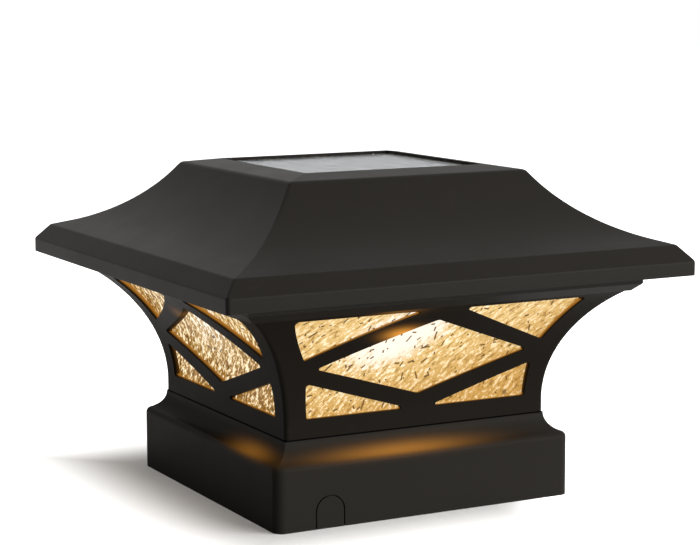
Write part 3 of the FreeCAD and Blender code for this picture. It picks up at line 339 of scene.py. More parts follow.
@dataclass(frozen=True)
class MouldedPlastic:
    """Injection moulding with a fine spark-eroded grain, a faint flow mottle and a little dust.

    Halos are patches of light on it, and seam is the height of a joint between parts, where the shade of the
    gap is painted as a dark line.
    """

    name: str
    colour: Colour
    roughness: float = 0.42
    grain: float = 0.45 * MM
    grain_depth: float = 0.012 * MM
    flow: float = 16 * MM
    mottle: float = 0.16
    dust_size: float = 5 * MM
    dust_colour: Colour = (0.11, 0.105, 0.10)
    specular: float = 0.3
    halos: tuple[Halo, ...] = ()
    halo_colour: Colour = (1.0, 0.40, 0.05)
    seam: float | None = None
    seam_edges: tuple[float, float] = (0.12 * MM, 0.42 * MM)

    def light(self, shader: Shader) -> Value | None:
        """Add up the amber light on the surface.

        Args:
            shader: the material.

        Returns:
            The light's brightness, or nothing where no pane is near.
        """
        glow = None
        for halo in self.halos:
            spot = halo.glow(shader)
            glow = spot if glow is None else glow + spot
        return glow

    def make(self) -> bpy.types.Material:
        """Build the material.

        Returns:
            The material.
        """
        shader = Shader(self.name)
        fine = shader.noise(shader.place, self.grain, 3.0, 0.6)
        broad = shader.noise(shader.place, self.flow, 3.0, 0.55)
        tone = 1.0 + self.mottle * ((broad - 0.5) * 1.4 + (fine - 0.5) * 0.9)
        dust = shader.smooth(shader.noise(shader.place, self.dust_size, 4.0, 0.65), 0.6, 0.85)
        colour = shader.mix(tone * 0.5, toned(self.colour, 0.72), toned(self.colour, 1.3))
        colour = shader.mix(dust * 0.04, colour, self.dust_colour)
        roughness = self.roughness + (broad - 0.5) * 0.10 + (fine - 0.5) * 0.10 + dust * 0.04
        sockets = {"Base_Color": colour, "Roughness": roughness, "Specular_IOR_Level": self.specular,
                   "Normal": shader.bump(fine, self.grain_depth)}
        glow = self.light(shader)
        if glow is not None:
            sockets["Emission_Color"] = shader.mix(glow * (0.8 + 0.4 * fine), BLACK, self.halo_colour)
            sockets["Emission_Strength"] = 1.0
        if self.seam is not None:
            # A dark line of painted shade along the joint.
            _, _, z = shader.parts(shader.place)
            sockets["gap"] = 1.0 - shader.smooth(abs(z - self.seam), *self.seam_edges)
        return shader.finish(**sockets)


@dataclass(frozen=True)
class LatticePlastic(MouldedPlastic):
    """Moulding of the lattice, whose window edges catch the light of the panes behind them.

    The rim of light lies between the wall's outer face and the pane, and is strongest where an edge faces up.
    """

    flare: Flare = Flare()
    rim_start: float = 0.5 * MM
    depth: float = 2.3 * MM
    rim_end: tuple[float, float] = (2.99 * MM, 3.68 * MM)
    windows: tuple[float, float] = (35.6 * MM, 73.8 * MM)
    rim_light: float = 0.035
    upward_light: float = 0.36

    def light(self, shader: Shader) -> Value | None:
        """Add a rim that brightens toward the pane to the patches of light.

        Args:
            shader: the material.

        Returns:
            The light's brightness.
        """
        x, y, z = shader.parts(shader.place)
        climb = shader.math("MAXIMUM", z - self.flare.start, 0.0)
        radius = self.flare.radius
        reach = self.flare.neck_half + radius - shader.math("SQRT", radius * radius - climb * climb)
        inside = reach - shader.math("MAXIMUM", abs(x), abs(y))
        rim = shader.smooth(inside, self.rim_start, self.depth) * (1.0 - shader.smooth(inside, *self.rim_end))
        low, high = self.windows
        rim = rim * shader.math("GREATER_THAN", z, low) * shader.math("LESS_THAN", z, high)
        _, _, up = shader.parts(shader.out("ShaderNodeNewGeometry", output="Normal"))
        return super().light(shader) + rim * (self.rim_light + self.upward_light * shader.smooth(up, 0.0, 0.5))


@dataclass(frozen=True)
class HammeredAmber:
    """Amber pane with pressed ripples and short dashes, lit from behind.

    It reads the pane's own attribute: the place across, the height, and a seed by which the sides differ. The
    front's seed is 0. A higher one shifts and dims the bright spot and gives the streaks more contrast.
    The relief runs from 0 to 1. Its shares are those of the two streaks and of the pebbling, and the edges are
    where the painted highlights on the crests, the painted shade in the troughs and the hot spot begin and are
    full. Each kind of dash has the size of its cells, the share of them that hold one near the lamp, and its
    length, where 1 is the usual one.
    """

    name: str
    base: Colour = (0.10, 0.055, 0.014)
    deep: Colour = (0.54, 0.30, 0.075)
    gold: Colour = (0.82, 0.57, 0.23)
    highlight_colour: Colour = (1.05, 0.92, 0.64)
    hot: Colour = (1.08, 1.0, 0.87)
    shade_colour: Colour = (0.21, 0.10, 0.022)
    dash: Colour = (0.055, 0.026, 0.009)
    streaks: tuple[tuple[float, float], ...] = ((36, 1.15 * MM), (60, 1.9 * MM))
    stretch: float = 3.2
    pebble: float = 0.9 * MM
    relief_shares: tuple[float, float, float] = (0.5, 0.32, 0.18)
    highlight_edges: tuple[float, float] = (0.52, 0.55)
    shade_edges: tuple[float, float] = (0.43, 0.465)
    shade_seed: float = 0.13
    cloud: float = 4.5 * MM
    relief_depth: float = 0.10 * MM
    dash_length: float = 1.7 * MM
    dash_width: float = 0.42 * MM
    dash_turn: tuple[float, float] = (-0.25, 2.3)
    dash_kinds: tuple[tuple[float, float, float], ...] = ((2.9 * MM, 0.36, 0.6), (4.7 * MM, 0.62, 1.15))
    dash_relief: float = 0.35
    hot_place: tuple[float, float] = (-11 * MM, 63.5 * MM)
    hot_shift: float = 45 * MM
    hot_slant: tuple[float, float] = (0.94, 0.34)
    near_reach: tuple[float, float] = (22 * MM, 11 * MM)
    wide_reach: tuple[float, float] = (52 * MM, 21 * MM)
    hot_edges: tuple[float, float] = (0.28, 0.80)
    rise_foot: float = 55 * MM
    rise_span: float = 60 * MM
    screw_place: tuple[float, float] = (36.3 * MM, 37.7 * MM)
    screw_edges: tuple[float, float] = (0.5 * MM, 1.5 * MM)
    specular: float = 0.03

    def relief(self, shader: Shader, flat: Value) -> Value:
        """Pressed streaks that run two ways, with fine pebbling.

        Args:
            shader: the material.
            flat: the pane's flat coordinates.

        Returns:
            A height from 0 to 1.
        """
        runs = []
        for angle, size in self.streaks:
            turned = shader.out("ShaderNodeMapping", {"vector_type": "TEXTURE"}, {
                "Vector": flat, "Rotation": (0, 0, math.radians(angle)), "Scale": (self.stretch, 1.0, 1.0)})
            runs.append(shader.noise(turned, size, 4.0, 0.66))
        first, second, third = self.relief_shares
        return runs[0] * first + runs[1] * second + shader.noise(flat, self.pebble, 2.0, 0.6) * third

    def dashes(self, shader: Shader, flat: Value, cell: float, share: Value, scale: float) -> Value:
        """Short pressed lines, one in some cells of a Voronoi pattern, each with its own turn.

        Args:
            shader: the material.
            flat: the pane's flat coordinates.
            cell: size of a cell in metres.
            share: share of the cells that hold a line.
            scale: length of the lines, where 1 is the usual one.

        Returns:
            1 on a line and 0 beside it.
        """
        cells = shader.node("ShaderNodeTexVoronoi", {"voronoi_dimensions": "2D"},
                            {"Vector": flat, "Scale": 1.0 / cell, "Randomness": 0.9})
        from_centre = shader.vector_math("SUBTRACT", flat, Value(shader, cells.outputs["Position"]))
        red, green, blue = shader.parts(Value(shader, cells.outputs["Color"]))
        least, span = self.dash_turn
        angle = red * span + least
        x, y, _ = shader.parts(from_centre)
        cosine, sine = shader.math("COSINE", angle), shader.math("SINE", angle)
        along, across = x * cosine + y * sine, y * cosine - x * sine
        length = self.dash_length * scale * (0.3 + 0.9 * blue * blue)
        ends = 1.0 - shader.smooth(abs(along) / length, 0.75, 1.0)
        width = self.dash_width * (0.8 + 0.5 * green)
        flanks = 1.0 - shader.smooth(abs(across) / width, 0.55, 1.0)
        return ends * flanks * shader.math("LESS_THAN", green, share)

    def screw(self, shader: Shader, x: Value, z: Value) -> Value:
        """The dark head of a screw that shows through the pane.

        Args:
            shader: the material.
            x: place across the pane.
            z: height.

        Returns:
            1 on the head and 0 beside it.
        """
        across, up = x - self.screw_place[0], z - self.screw_place[1]
        return 1.0 - shader.smooth(shader.math("SQRT", across * across + up * up), *self.screw_edges)

    def make(self) -> bpy.types.Material:
        """Build the material from the pane's own flat coordinates.

        Returns:
            The material.
        """
        shader = Shader(self.name)
        flat = shader.out("ShaderNodeAttribute", {"attribute_name": "pane"}, output="Vector")
        x, z, seed = shader.parts(flat)
        relief = self.relief(shader, flat)
        cloud = shader.noise(flat, self.cloud, 3.0, 0.6)
        # Painted highlight on the ripple crests and painted shade in the ripple troughs.
        painted_crest_highlight = shader.smooth(relief, *self.highlight_edges)
        painted_trough_shade = 1.0 - shader.smooth(relief - seed * self.shade_seed, *self.shade_edges)

        # The bright spot of the lamp: a slanted patch with a small core and a wide fringe.
        spot_x, spot_z = x - self.hot_place[0] - seed * self.hot_shift, z - self.hot_place[1]
        cosine, sine = self.hot_slant
        along, across = spot_x * cosine + spot_z * sine, spot_z * cosine - spot_x * sine
        near = shader.fade(along / self.near_reach[0], across / self.near_reach[1])
        wide = shader.fade(along / self.wide_reach[0], across / self.wide_reach[1])
        heat = near * (0.8 + 0.5 * cloud) * (1.0 - seed * 1.3) + painted_crest_highlight * wide * 0.34 - painted_trough_shade * 0.2

        # From deep amber to gold with the lamp's light, then painted highlights on the crests, painted shade in
        # the troughs, the hot spot and the dark marks.
        rise = (z - self.rise_foot) / self.rise_span
        colour = shader.mix(0.12 + 0.75 * wide + 0.7 * (cloud - 0.3) + rise - seed, self.deep, self.gold)
        colour = shader.mix(painted_crest_highlight * (0.5 + 0.5 * wide + seed), colour, self.highlight_colour)
        colour = shader.mix(painted_trough_shade * (0.72 + 0.8 * seed - 0.5 * near), colour, self.shade_colour)
        colour = shader.mix(shader.smooth(heat, *self.hot_edges), colour, self.hot)
        crowd = 0.25 + 0.75 * wide
        small, large = (self.dashes(shader, flat, cell, crowd * share, scale)
                        for cell, share, scale in self.dash_kinds)
        marks = shader.math("MAXIMUM", small, large)
        colour = shader.mix(marks * 0.95, colour, self.dash)
        colour = shader.mix(self.screw(shader, x, z) * 0.75, colour, self.dash)
        return shader.finish(
            # The crests' base colour is also painted lighter, as a painted highlight.
            Base_Color=shader.mix(painted_crest_highlight, self.base, toned(self.base, 1.6)), Roughness=0.22 + 0.2 * cloud,
            Specular_IOR_Level=self.specular,
            Normal=shader.bump(relief - marks * self.dash_relief, self.relief_depth),
            Emission_Color=colour, Emission_Strength=1.0)


@dataclass(frozen=True)
class PlatedSteel:
    """Plated or blackened metal with fine turning marks."""

    name: str
    colour: Colour = (0.55, 0.54, 0.52)
    roughness: float = 0.3

    def make(self) -> bpy.types.Material:
        """Build the material.

        Returns:
            The material.
        """
        shader = Shader(self.name)
        scratch = shader.noise(shader.place, 0.25 * MM, 3.0, 0.6)
        stain = shader.noise(shader.place, 1.8 * MM, 3.0, 0.6)
        colour = shader.mix(stain, toned(self.colour, 0.8), self.colour)
        roughness = self.roughness + 0.2 * (scratch - 0.5)
        return shader.finish(Base_Color=colour, Metallic=1.0, Roughness=roughness,
                             Normal=shader.bump(scratch, 0.006 * MM))


@dataclass(frozen=True)
class Silicon:
    """Dark blue crystalline silicon under its anti-reflection coat, in grains of two tones.

    The index is lower than a real one, so that a flat view from the side returns little of the white surround.
    """

    name: str
    grain: float = 3.5 * MM
    dark: Colour = (0.008, 0.013, 0.035)
    light: Colour = (0.022, 0.034, 0.075)
    index: float = 1.1

    def make(self) -> bpy.types.Material:
        """Build the material.

        Returns:
            The material.
        """
        shader = Shader(self.name)
        grains = shader.out("ShaderNodeTexVoronoi", None, {"Vector": shader.place, "Scale": 1.0 / self.grain},
                            "Color")
        tone, _, _ = shader.parts(grains)
        fine = shader.noise(shader.place, 0.4 * MM, 2.0, 0.5)
        return shader.finish(Base_Color=shader.mix(tone, self.dark, self.light),
                             Roughness=0.26 + 0.14 * tone + 0.05 * fine, IOR=self.index,
                             Normal=shader.bump(tone, 0.004 * MM))


@dataclass(frozen=True)
class ClearResin:
    """Clear resin cast over the cells, with a faint haze and flow, and an index set low as the cells' is."""

    name: str
    hazy: Colour = (0.88, 0.9, 0.9)
    clear: Colour = (0.97, 0.98, 0.97)
    index: float = 1.05

    def make(self) -> bpy.types.Material:
        """Build the material.

        Returns:
            The material.
        """
        shader = Shader(self.name)
        haze = shader.noise(shader.place, 6 * MM, 3.0, 0.55)
        ripple = shader.noise(shader.place, 14 * MM, 1.0, 0.4)
        return shader.finish(Base_Color=shader.mix(haze, self.hazy, self.clear),
                             Roughness=0.12 + 0.14 * haze, Transmission_Weight=1.0, IOR=self.index,
                             Normal=shader.bump(ripple, 0.02 * MM))


@dataclass(frozen=True)
class Rubber:
    """Soft, dull rubber or sealant with a wiped surface."""

    name: str
    colour: Colour
    roughness: float = 0.75

    def make(self) -> bpy.types.Material:
        """Build the material.

        Returns:
            The material.
        """
        shader = Shader(self.name)
        wipe = shader.noise(shader.place, 1.2 * MM, 4.0, 0.65)
        colour = shader.mix(wipe, toned(self.colour, 0.7), toned(self.colour, 1.3))
        return shader.finish(Base_Color=colour, Roughness=self.roughness + 0.2 * (wipe - 0.5),
                             Normal=shader.bump(wipe, 0.03 * MM))


@dataclass(frozen=True)
class SolderMask:
    """Board laminate under solder mask, with copper tracks that show as lighter lines."""

    name: str
    mask: Colour = (0.012, 0.12, 0.05)
    track: Colour = (0.03, 0.24, 0.10)

    def make(self) -> bpy.types.Material:
        """Build the material.

        Returns:
            The material.
        """
        shader = Shader(self.name)
        tracks = shader.out("ShaderNodeTexBrick", {"offset": 0.37, "squash": 1.6, "squash_frequency": 3},
                            {"Vector": shader.place, "Scale": 1.0 / (9 * MM), "Mortar Size": 0.045,
                             "Mortar Smooth": 0.05, "Brick Width": 0.9, "Row Height": 0.31}, "Fac")
        weave = shader.noise(shader.place, 0.5 * MM, 2.0, 0.5)
        colour = shader.mix(tracks, self.mask, self.track)
        return shader.finish(Base_Color=colour, Roughness=0.32 + 0.1 * weave,
                             Normal=shader.bump(tracks + weave * 0.2, 0.03 * MM))


@dataclass(frozen=True)
class Glow:
    """Frosted or clear plastic that a lamp lights from within, most at its core."""

    name: str
    colour: Colour
    lit: Colour
    strength: float
    core: Point
    reach: float

    def make(self) -> bpy.types.Material:
        """Build the material, which is brightest around its core.

        Returns:
            The material.
        """
        shader = Shader(self.name)
        frost = shader.noise(shader.place, 0.6 * MM, 3.0, 0.6)
        away = shader.vector_math("DISTANCE", shader.place, self.core, "Value")
        lit = shader.fade(away / self.reach) * (0.9 + 0.2 * frost)
        return shader.finish(Base_Color=shader.mix(frost, toned(self.colour, 0.94), self.colour),
                             Roughness=0.45 + 0.2 * frost, Normal=shader.bump(frost, 0.01 * MM),
                             Emission_Color=shader.mix(lit, toned(self.lit, 0.35), self.lit),
                             Emission_Strength=self.strength)


@dataclass(frozen=True)
class Sleeve:
    """Shrunk film round a battery that lies along x: a plain colour, with bare metal past its half length."""

    name: str
    colour: Colour
    half_length: float
    middle: float = -2.3 * MM
    metal: Colour = (0.6, 0.59, 0.56)

    def make(self) -> bpy.types.Material:
        """Build the material.

        Returns:
            The material.
        """
        shader = Shader(self.name)
        x, _, _ = shader.parts(shader.place)
        wrinkle = shader.noise(shader.place, 2.2 * MM, 3.0, 0.6)
        bare = shader.math("GREATER_THAN", abs(x - self.middle), self.half_length)
        colour = shader.mix(wrinkle, toned(self.colour, 0.85), self.colour)
        return shader.finish(Base_Color=shader.mix(bare, colour, self.metal), Metallic=bare,
                             Roughness=0.3 + 0.15 * wrinkle, Normal=shader.bump(wrinkle, 0.02 * MM))


# --------------------------------------------------------------------------------------------------
# Geometry node trees
# --------------------------------------------------------------------------------------------------


class Maker(Graph):
    """A Geometry Nodes tree with named inputs."""

    def __init__(self, name: str, inputs: Mapping[str, str]) -> None:
        """Start a tree.

        Args:
            name: the tree's name.
            inputs: socket types by the input's name.
        """
        super().__init__(bpy.data.node_groups.new(name, "GeometryNodeTree"))
        face = self.tree.interface
        face.new_socket(name="Geometry", in_out="INPUT", socket_type="NodeSocketGeometry")
        for label, kind in inputs.items():
            face.new_socket(name=label, in_out="INPUT", socket_type=f"NodeSocket{kind}")
        face.new_socket(name="Geometry", in_out="OUTPUT", socket_type="NodeSocketGeometry")
        self.entry = self.tree.nodes.new("NodeGroupInput")

    def given(self, label: str) -> Value:
        """An input of the tree by its name."""
        return Value(self, self.entry.outputs[label])

    def close(self, geometry: Value) -> None:
        """End the tree in Realize Instances and Set Material.

        Args:
            geometry: what the tree made.
        """
        real = self.out("GeometryNodeRealizeInstances", None, {0: geometry})
        dressed = self.out("GeometryNodeSetMaterial", None,
                           {"Geometry": real, "Material": self.given("Material")})
        self.node("NodeGroupOutput", None, {0: dressed})

    def run(self, name: str, points: Sequence[Point], values: Mapping[str, Any]) -> bpy.types.Object:
        """Run the tree on some points and keep the result as a plain mesh.

        Args:
            name: the piece's name.
            points: the places that the tree starts from.
            values: the inputs by name.

        Returns:
            The piece, with its place in its mesh.
        """
        start = bpy.data.meshes.new(f"{name}_points")
        start.from_pydata([tuple(point) for point in points], [], [])
        holder = bpy.data.objects.new(name, start)
        bpy.context.scene.collection.objects.link(holder)
        modifier = holder.modifiers.new("Maker", "NODES")
        modifier.node_group = self.tree
        for item in self.tree.interface.items_tree:
            if item.in_out == "INPUT" and item.name in values:
                modifier[item.identifier] = values[item.name]
        holder.update_tag()
        bpy.context.view_layer.update()
        graph = bpy.context.evaluated_depsgraph_get()
        mesh = bpy.data.meshes.new_from_object(holder.evaluated_get(graph))
        holder.modifiers.remove(modifier)
        holder.data = mesh
        mesh.name = name
        return holder


def pane_maker() -> Maker:
    """Tree for one bent, hammered pane on the front, from its profile's rule.

    Returns:
        The tree. It keeps the flat place of each point as the attribute "pane", for the finish.
    """
    numbers = ("Neck Half", "Flare Start", "Flare Radius", "Front Inset", "Back Inset", "Edge Gap", "Foot",
               "Top", "Ripple Size", "Ripple Depth", "Seed")
    make = Maker("HammeredPane", {"Columns": "Int", "Rows": "Int", **dict.fromkeys(numbers, "Float"),
                                  "Material": "Material"})
    sheet = make.out("GeometryNodeMeshCube", None, {
        "Size": (1.0, 1.0, 1.0), "Vertices X": make.given("Columns"), "Vertices Y": 2,
        "Vertices Z": make.given("Rows")})
    u, t, v = make.parts(make.out("GeometryNodeInputPosition"))
    foot = make.given("Foot")
    z = foot + (v + 0.5) * (make.given("Top") - foot)
    front = make.given("Front Inset")
    inset = front + (t + 0.5) * (make.given("Back Inset") - front)
    radius = make.given("Flare Radius")
    climb = make.math("MAXIMUM", z - make.given("Flare Start"), 0.0)
    reach = make.given("Neck Half") + radius - make.math("SQRT", (radius + inset) ** 2.0 - climb * climb)
    x = u * 2.0 * (reach - make.given("Edge Gap"))
    flat = make.vector(x, z, make.given("Seed"))
    size = make.given("Ripple Size")
    turned = make.vector(x * 0.34 + z * 0.26, z * 0.78 - x * 0.62, make.given("Seed") + t * 9.0)
    hammer = make.out("ShaderNodeTexNoise", None, {
        "Vector": turned, "Scale": 1.0 / size, "Detail": 2.0, "Roughness": 0.55})
    inward = make.given("Ripple Depth") * hammer * (0.0 - t * 2.0)
    y = (reach - inward) * -1.0
    kept = make.out("GeometryNodeStoreNamedAttribute", {"data_type": "FLOAT_VECTOR", "domain": "POINT"},
                    {"Geometry": sheet, "Name": "pane", "Value": flat})
    shaped = make.out("GeometryNodeSetPosition", None, {"Geometry": kept, "Position": make.vector(x, y, z)})
    smooth = make.out("GeometryNodeSetShadeSmooth", None, {0: shaped, "Shade Smooth": True})
    make.close(smooth)
    return make


def screw_maker() -> Maker:
    """Tree that puts a pan-head screw with a cross recess at each point.

    Returns:
        The tree. Its sizes are in millimetres, and the screws are scaled as they are placed.
    """
    lengths = ("Head Radius", "Head Height", "Shank Radius", "Length", "Recess")
    make = Maker("PanHeadScrews", {**dict.fromkeys(lengths, "Float"), "Turn": "Vector", "Material": "Material"})
    radius, height = make.given("Head Radius"), make.given("Head Height")
    stock = make.out("GeometryNodeMeshCylinder", {"fill_type": "TRIANGLE_FAN"}, {
        "Vertices": 40, "Side Segments": 6, "Fill Segments": 6, "Radius": 1.0, "Depth": 1.0})
    x, y, h = make.parts(make.out("GeometryNodeInputPosition"))
    rise = h + 0.5
    out = make.math("SQRT", x * x + y * y)
    pull = make.math("MAXIMUM", out, rise) / ((out ** 4.0 + rise ** 4.0 + 1e-9) ** 0.25)
    head = make.out("GeometryNodeSetPosition", None, {
        "Geometry": stock,
        "Position": make.vector(x * pull * radius, y * pull * radius, rise * pull * height)})
    bars = []
    recess = make.given("Recess")
    for wide, deep in ((1.0, 0.28), (0.28, 1.0)):
        bar = make.out("GeometryNodeMeshCube", None, {
            "Size": make.vector(recess * wide, recess * deep, height * 1.3)})
        bars.append(make.out("GeometryNodeTransform", None, {
            "Geometry": bar, "Translation": make.vector(0.0, 0.0, height * 1.1)}))
    cross = make.node("GeometryNodeMeshBoolean", {"operation": "UNION", "solver": "EXACT"})
    for bar in bars:
        make.tree.links.new(bar.socket, cross.inputs["Mesh 2"])
    cut = make.out("GeometryNodeMeshBoolean", {"operation": "DIFFERENCE", "solver": "EXACT"}, {
        "Mesh 1": head, "Mesh 2": Value(make, cross.outputs[0])})
    length = make.given("Length")
    shank = make.out("GeometryNodeMeshCylinder", None, {
        "Vertices": 24, "Radius": make.given("Shank Radius"), "Depth": length})
    shank = make.out("GeometryNodeTransform", None, {
        "Geometry": shank, "Translation": make.vector(0.0, 0.0, length * -0.5 + height * 0.2)})
    union = make.node("GeometryNodeMeshBoolean", {"operation": "UNION", "solver": "EXACT"})
    for mesh in (cut, shank):
        make.tree.links.new(mesh.socket, union.inputs["Mesh 2"])
    placed = make.out("GeometryNodeInstanceOnPoints", None, {
        "Points": make.given("Geometry"), "Instance": Value(make, union.outputs[0]),
        "Rotation": make.given("Turn"), "Scale": (MM, MM, MM)})
    make.close(placed)
    return make


def strip_maker() -> Maker:
    """Tree that puts a small bar at each point, such as a finger or busbar of a solar cell.

    Returns:
        The tree.
    """
    make = Maker("CellBars", {"Size": "Vector", "Material": "Material"})
    bar = make.out("GeometryNodeMeshCube", None, {"Size": make.given("Size")})
    placed = make.out("GeometryNodeInstanceOnPoints", None,
                      {"Points": make.given("Geometry"), "Instance": bar})
    make.close(placed)
    return make


# --------------------------------------------------------------------------------------------------
# Sub-assemblies
# --------------------------------------------------------------------------------------------------


def dress(frame: Mapping[str, Any], material: bpy.types.Material, *nodes: str) -> None:
    """Put one material in every slot of some CAD nodes.

    Args:
        frame: the loaded frame.
        material: the finish.
        nodes: the nodes' names.
    """
    for name in nodes:
        for slot in frame["nodes"][name].material_slots:
            slot.material = material


def corners(reach: float, z: float) -> list[Point]:
    """The four corners of a square of that half width at a height."""
    return [(x * reach, y * reach, z) for x, y in ((1, 1), (-1, 1), (-1, -1), (1, -1))]


def adopt(piece: bpy.types.Object, body: str, slot: str, *nodes: str) -> None:
    """Let a new piece ride on a body, stand for some CAD nodes or for none, and be reported.

    Args:
        piece: the piece.
        body: the body's name.
        slot: not used.
        nodes: the CAD nodes that it stands for.
    """
    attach(piece, body)
    if nodes:
        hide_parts(*nodes)
    LOG.info("%s: %d faces on %s", piece.name, len(piece.data.polygons), body)


@dataclass
class Base:
    """Skirt over the post, with its white reflector.

    The light in the cove is given for each side by its middle, its half length and its strength.
    """

    frame: Mapping[str, Any]
    top: float = 29.6 * MM
    cove_out: float = 56.8 * MM
    cove_height: float = 25.3 * MM
    cove_reach: tuple[float, float] = (3.0 * MM, 2.3 * MM)
    cove_light: Mapping[Side, tuple[float, float, float]] = field(default_factory=lambda: {
        Side.FRONT: (-10 * MM, 26 * MM, 1.0), Side.RIGHT: (6 * MM, 22 * MM, 0.5),
        Side.BACK: (-6 * MM, 22 * MM, 0.5), Side.LEFT: (33 * MM, 14 * MM, 0.5)})

    def halos(self) -> tuple[Halo, ...]:
        """Light of the panes in the cove round the skirt."""
        return tuple(
            Halo((x, -self.cove_out, self.cove_height), (reach, *self.cove_reach), strength).turned(side)
            for side, (x, reach, strength) in self.cove_light.items())

    def build(self, black: bpy.types.Material, white: bpy.types.Material) -> None:
        """Dress the two mouldings.

        Args:
            black: finish of the skirt.
            white: finish of the reflector.
        """
        dress(self.frame, black, "base_skirt")
        dress(self.frame, white, "reflector_plate")
        LOG.info("base_skirt and reflector_plate dressed")


@dataclass
class Lantern:
    """Flared lattice with four hammered panes.

    The halos are the light near the front's brightest spot, and the other sides have them fainter.
    """

    frame: Mapping[str, Any]
    flare: Flare = Flare()
    front_inset: float = 2.3 * MM
    back_inset: float = 3.7 * MM
    edge_gap: float = (1.3 / math.sqrt(2) + 0.35) * MM
    foot: float = 32.7 * MM
    top: float = 73.7 * MM
    ripple_size: float = 1.5 * MM
    ripple_depth: float = 0.22 * MM
    columns: int = 190
    rows: int = 62
    seed_step: float = 0.11
    faint: float = 0.12
    halos: tuple[Halo, ...] = (
        Halo((-18.5 * MM, -72 * MM, 74.6 * MM), (8 * MM, 6 * MM, 2.8 * MM), 0.16),
        Halo((-12 * MM, -63.5 * MM, 64.2 * MM), (6.5 * MM, 5 * MM, 2.4 * MM), 0.95))

    def every_halo(self) -> tuple[Halo, ...]:
        """The patches of light near each side's brightest spot."""
        shares = {side: 1.0 if side is Side.FRONT else self.faint for side in Side}
        return tuple(replace(halo.turned(side), strength=halo.strength * share)
                     for side, share in shares.items() for halo in self.halos)

    def panes(self, amber: bpy.types.Material) -> None:
        """Build the four panes from one tree and turn each to its side.

        Args:
            amber: their finish.
        """
        maker = pane_maker()
        for count, side in enumerate(Side):
            pane = maker.run(f"pane_{side.name.lower()}", [(0, 0, 0)], {
                "Columns": self.columns, "Rows": self.rows, "Neck Half": self.flare.neck_half,
                "Flare Start": self.flare.start, "Flare Radius": self.flare.radius,
                "Front Inset": self.front_inset, "Back Inset": self.back_inset, "Edge Gap": self.edge_gap,
                "Foot": self.foot, "Top": self.top, "Ripple Size": self.ripple_size,
                "Ripple Depth": self.ripple_depth, "Seed": count * self.seed_step, "Material": amber})
            pane.data.transform(Matrix.Rotation(math.radians(side.value), 4, "Z"))
            adopt(pane, "base", "amber_pane", f"lens_{side.name.lower()}")

    def build(self, black: bpy.types.Material, amber: bpy.types.Material) -> None:
        """Dress the lattice and build the panes.

        Args:
            black: finish of the lattice.
            amber: finish of the panes.
        """
        dress(self.frame, black, "lantern_frame")
        LOG.info("lantern_frame dressed")
        self.panes(amber)


@dataclass
class Screws:
    """Every screw of the light, made by one tree.

    Heads and shanks are a diameter and a length, in millimetres. The two groups of four stand on a square,
    given by its half width and the height of the heads' undersides. Each pair is given by its name, its CAD
    node, the middle between its two screws and half the way from one to the other, in millimetres.
    """

    large_head: tuple[float, float] = (5.4, 1.9)
    small_head: tuple[float, float] = (3.4, 1.2)
    frame_shank: tuple[float, float] = (2.8, 8.0)
    tray_shank: tuple[float, float] = (2.8, 6.5)
    board_shank: tuple[float, float] = (1.8, 3.4)
    recess_share: float = 0.56
    frame_square: tuple[float, float] = (41.5 * MM, 32.6 * MM)
    tray_square: tuple[float, float] = (80.3 * MM, 83.1 * MM)
    pairs: tuple[tuple[str, str, Point, tuple[float, float]], ...] = (
        ("led_screw_set", "led_board_screws", (0.0, 0.0, 78.2), (12.5, 0.0)),
        ("box_screw_set", "battery_box_screws", (0.0, 36.0, 78.6), (32.8, 0.0)),
        ("board_screw_set", "circuit_board_screws", (44.0, -28.0, 82.6), (13.8, 8.8)))
    maker: Maker = field(default_factory=screw_maker)

    def row(self, name: str, node: str, body: str, places: Sequence[Point], head: tuple[float, float],
            shank: tuple[float, float], material: bpy.types.Material, down: bool = False) -> None:
        """Make one group of equal screws in place of a CAD node.

        Args:
            name: the piece's name.
            node: the CAD node that it stands for.
            body: the body it rides on.
            places: the undersides of the heads.
            head: head diameter and height in millimetres.
            shank: shank diameter and length in millimetres.
            material: the finish.
            down: whether the heads point down.
        """
        piece = self.maker.run(name, places, {
            "Head Radius": head[0] / 2, "Head Height": head[1], "Shank Radius": shank[0] / 2,
            "Length": shank[1], "Recess": head[0] * self.recess_share,
            "Turn": (math.pi if down else 0.0, 0.0, 0.0), "Material": material})
        adopt(piece, body, "screw_steel", node)

    def build(self, steel: bpy.types.Material) -> None:
        """Make the five groups, each where its CAD node is.

        Args:
            steel: their finish.
        """
        self.row("frame_screw_set", "frame_screws", "base", corners(*self.frame_square), self.large_head,
                 self.frame_shank, steel)
        self.row("tray_screw_set", "tray_screws", "roof", corners(*self.tray_square), self.large_head,
                 self.tray_shank, steel, down=True)
        for name, node, middle, half in self.pairs:
            x, y, z = middle
            places = [((x + way * half[0]) * MM, (y + way * half[1]) * MM, z * MM) for way in (1, -1)]
            self.row(name, node, "roof", places, self.small_head, self.board_shank, steel)


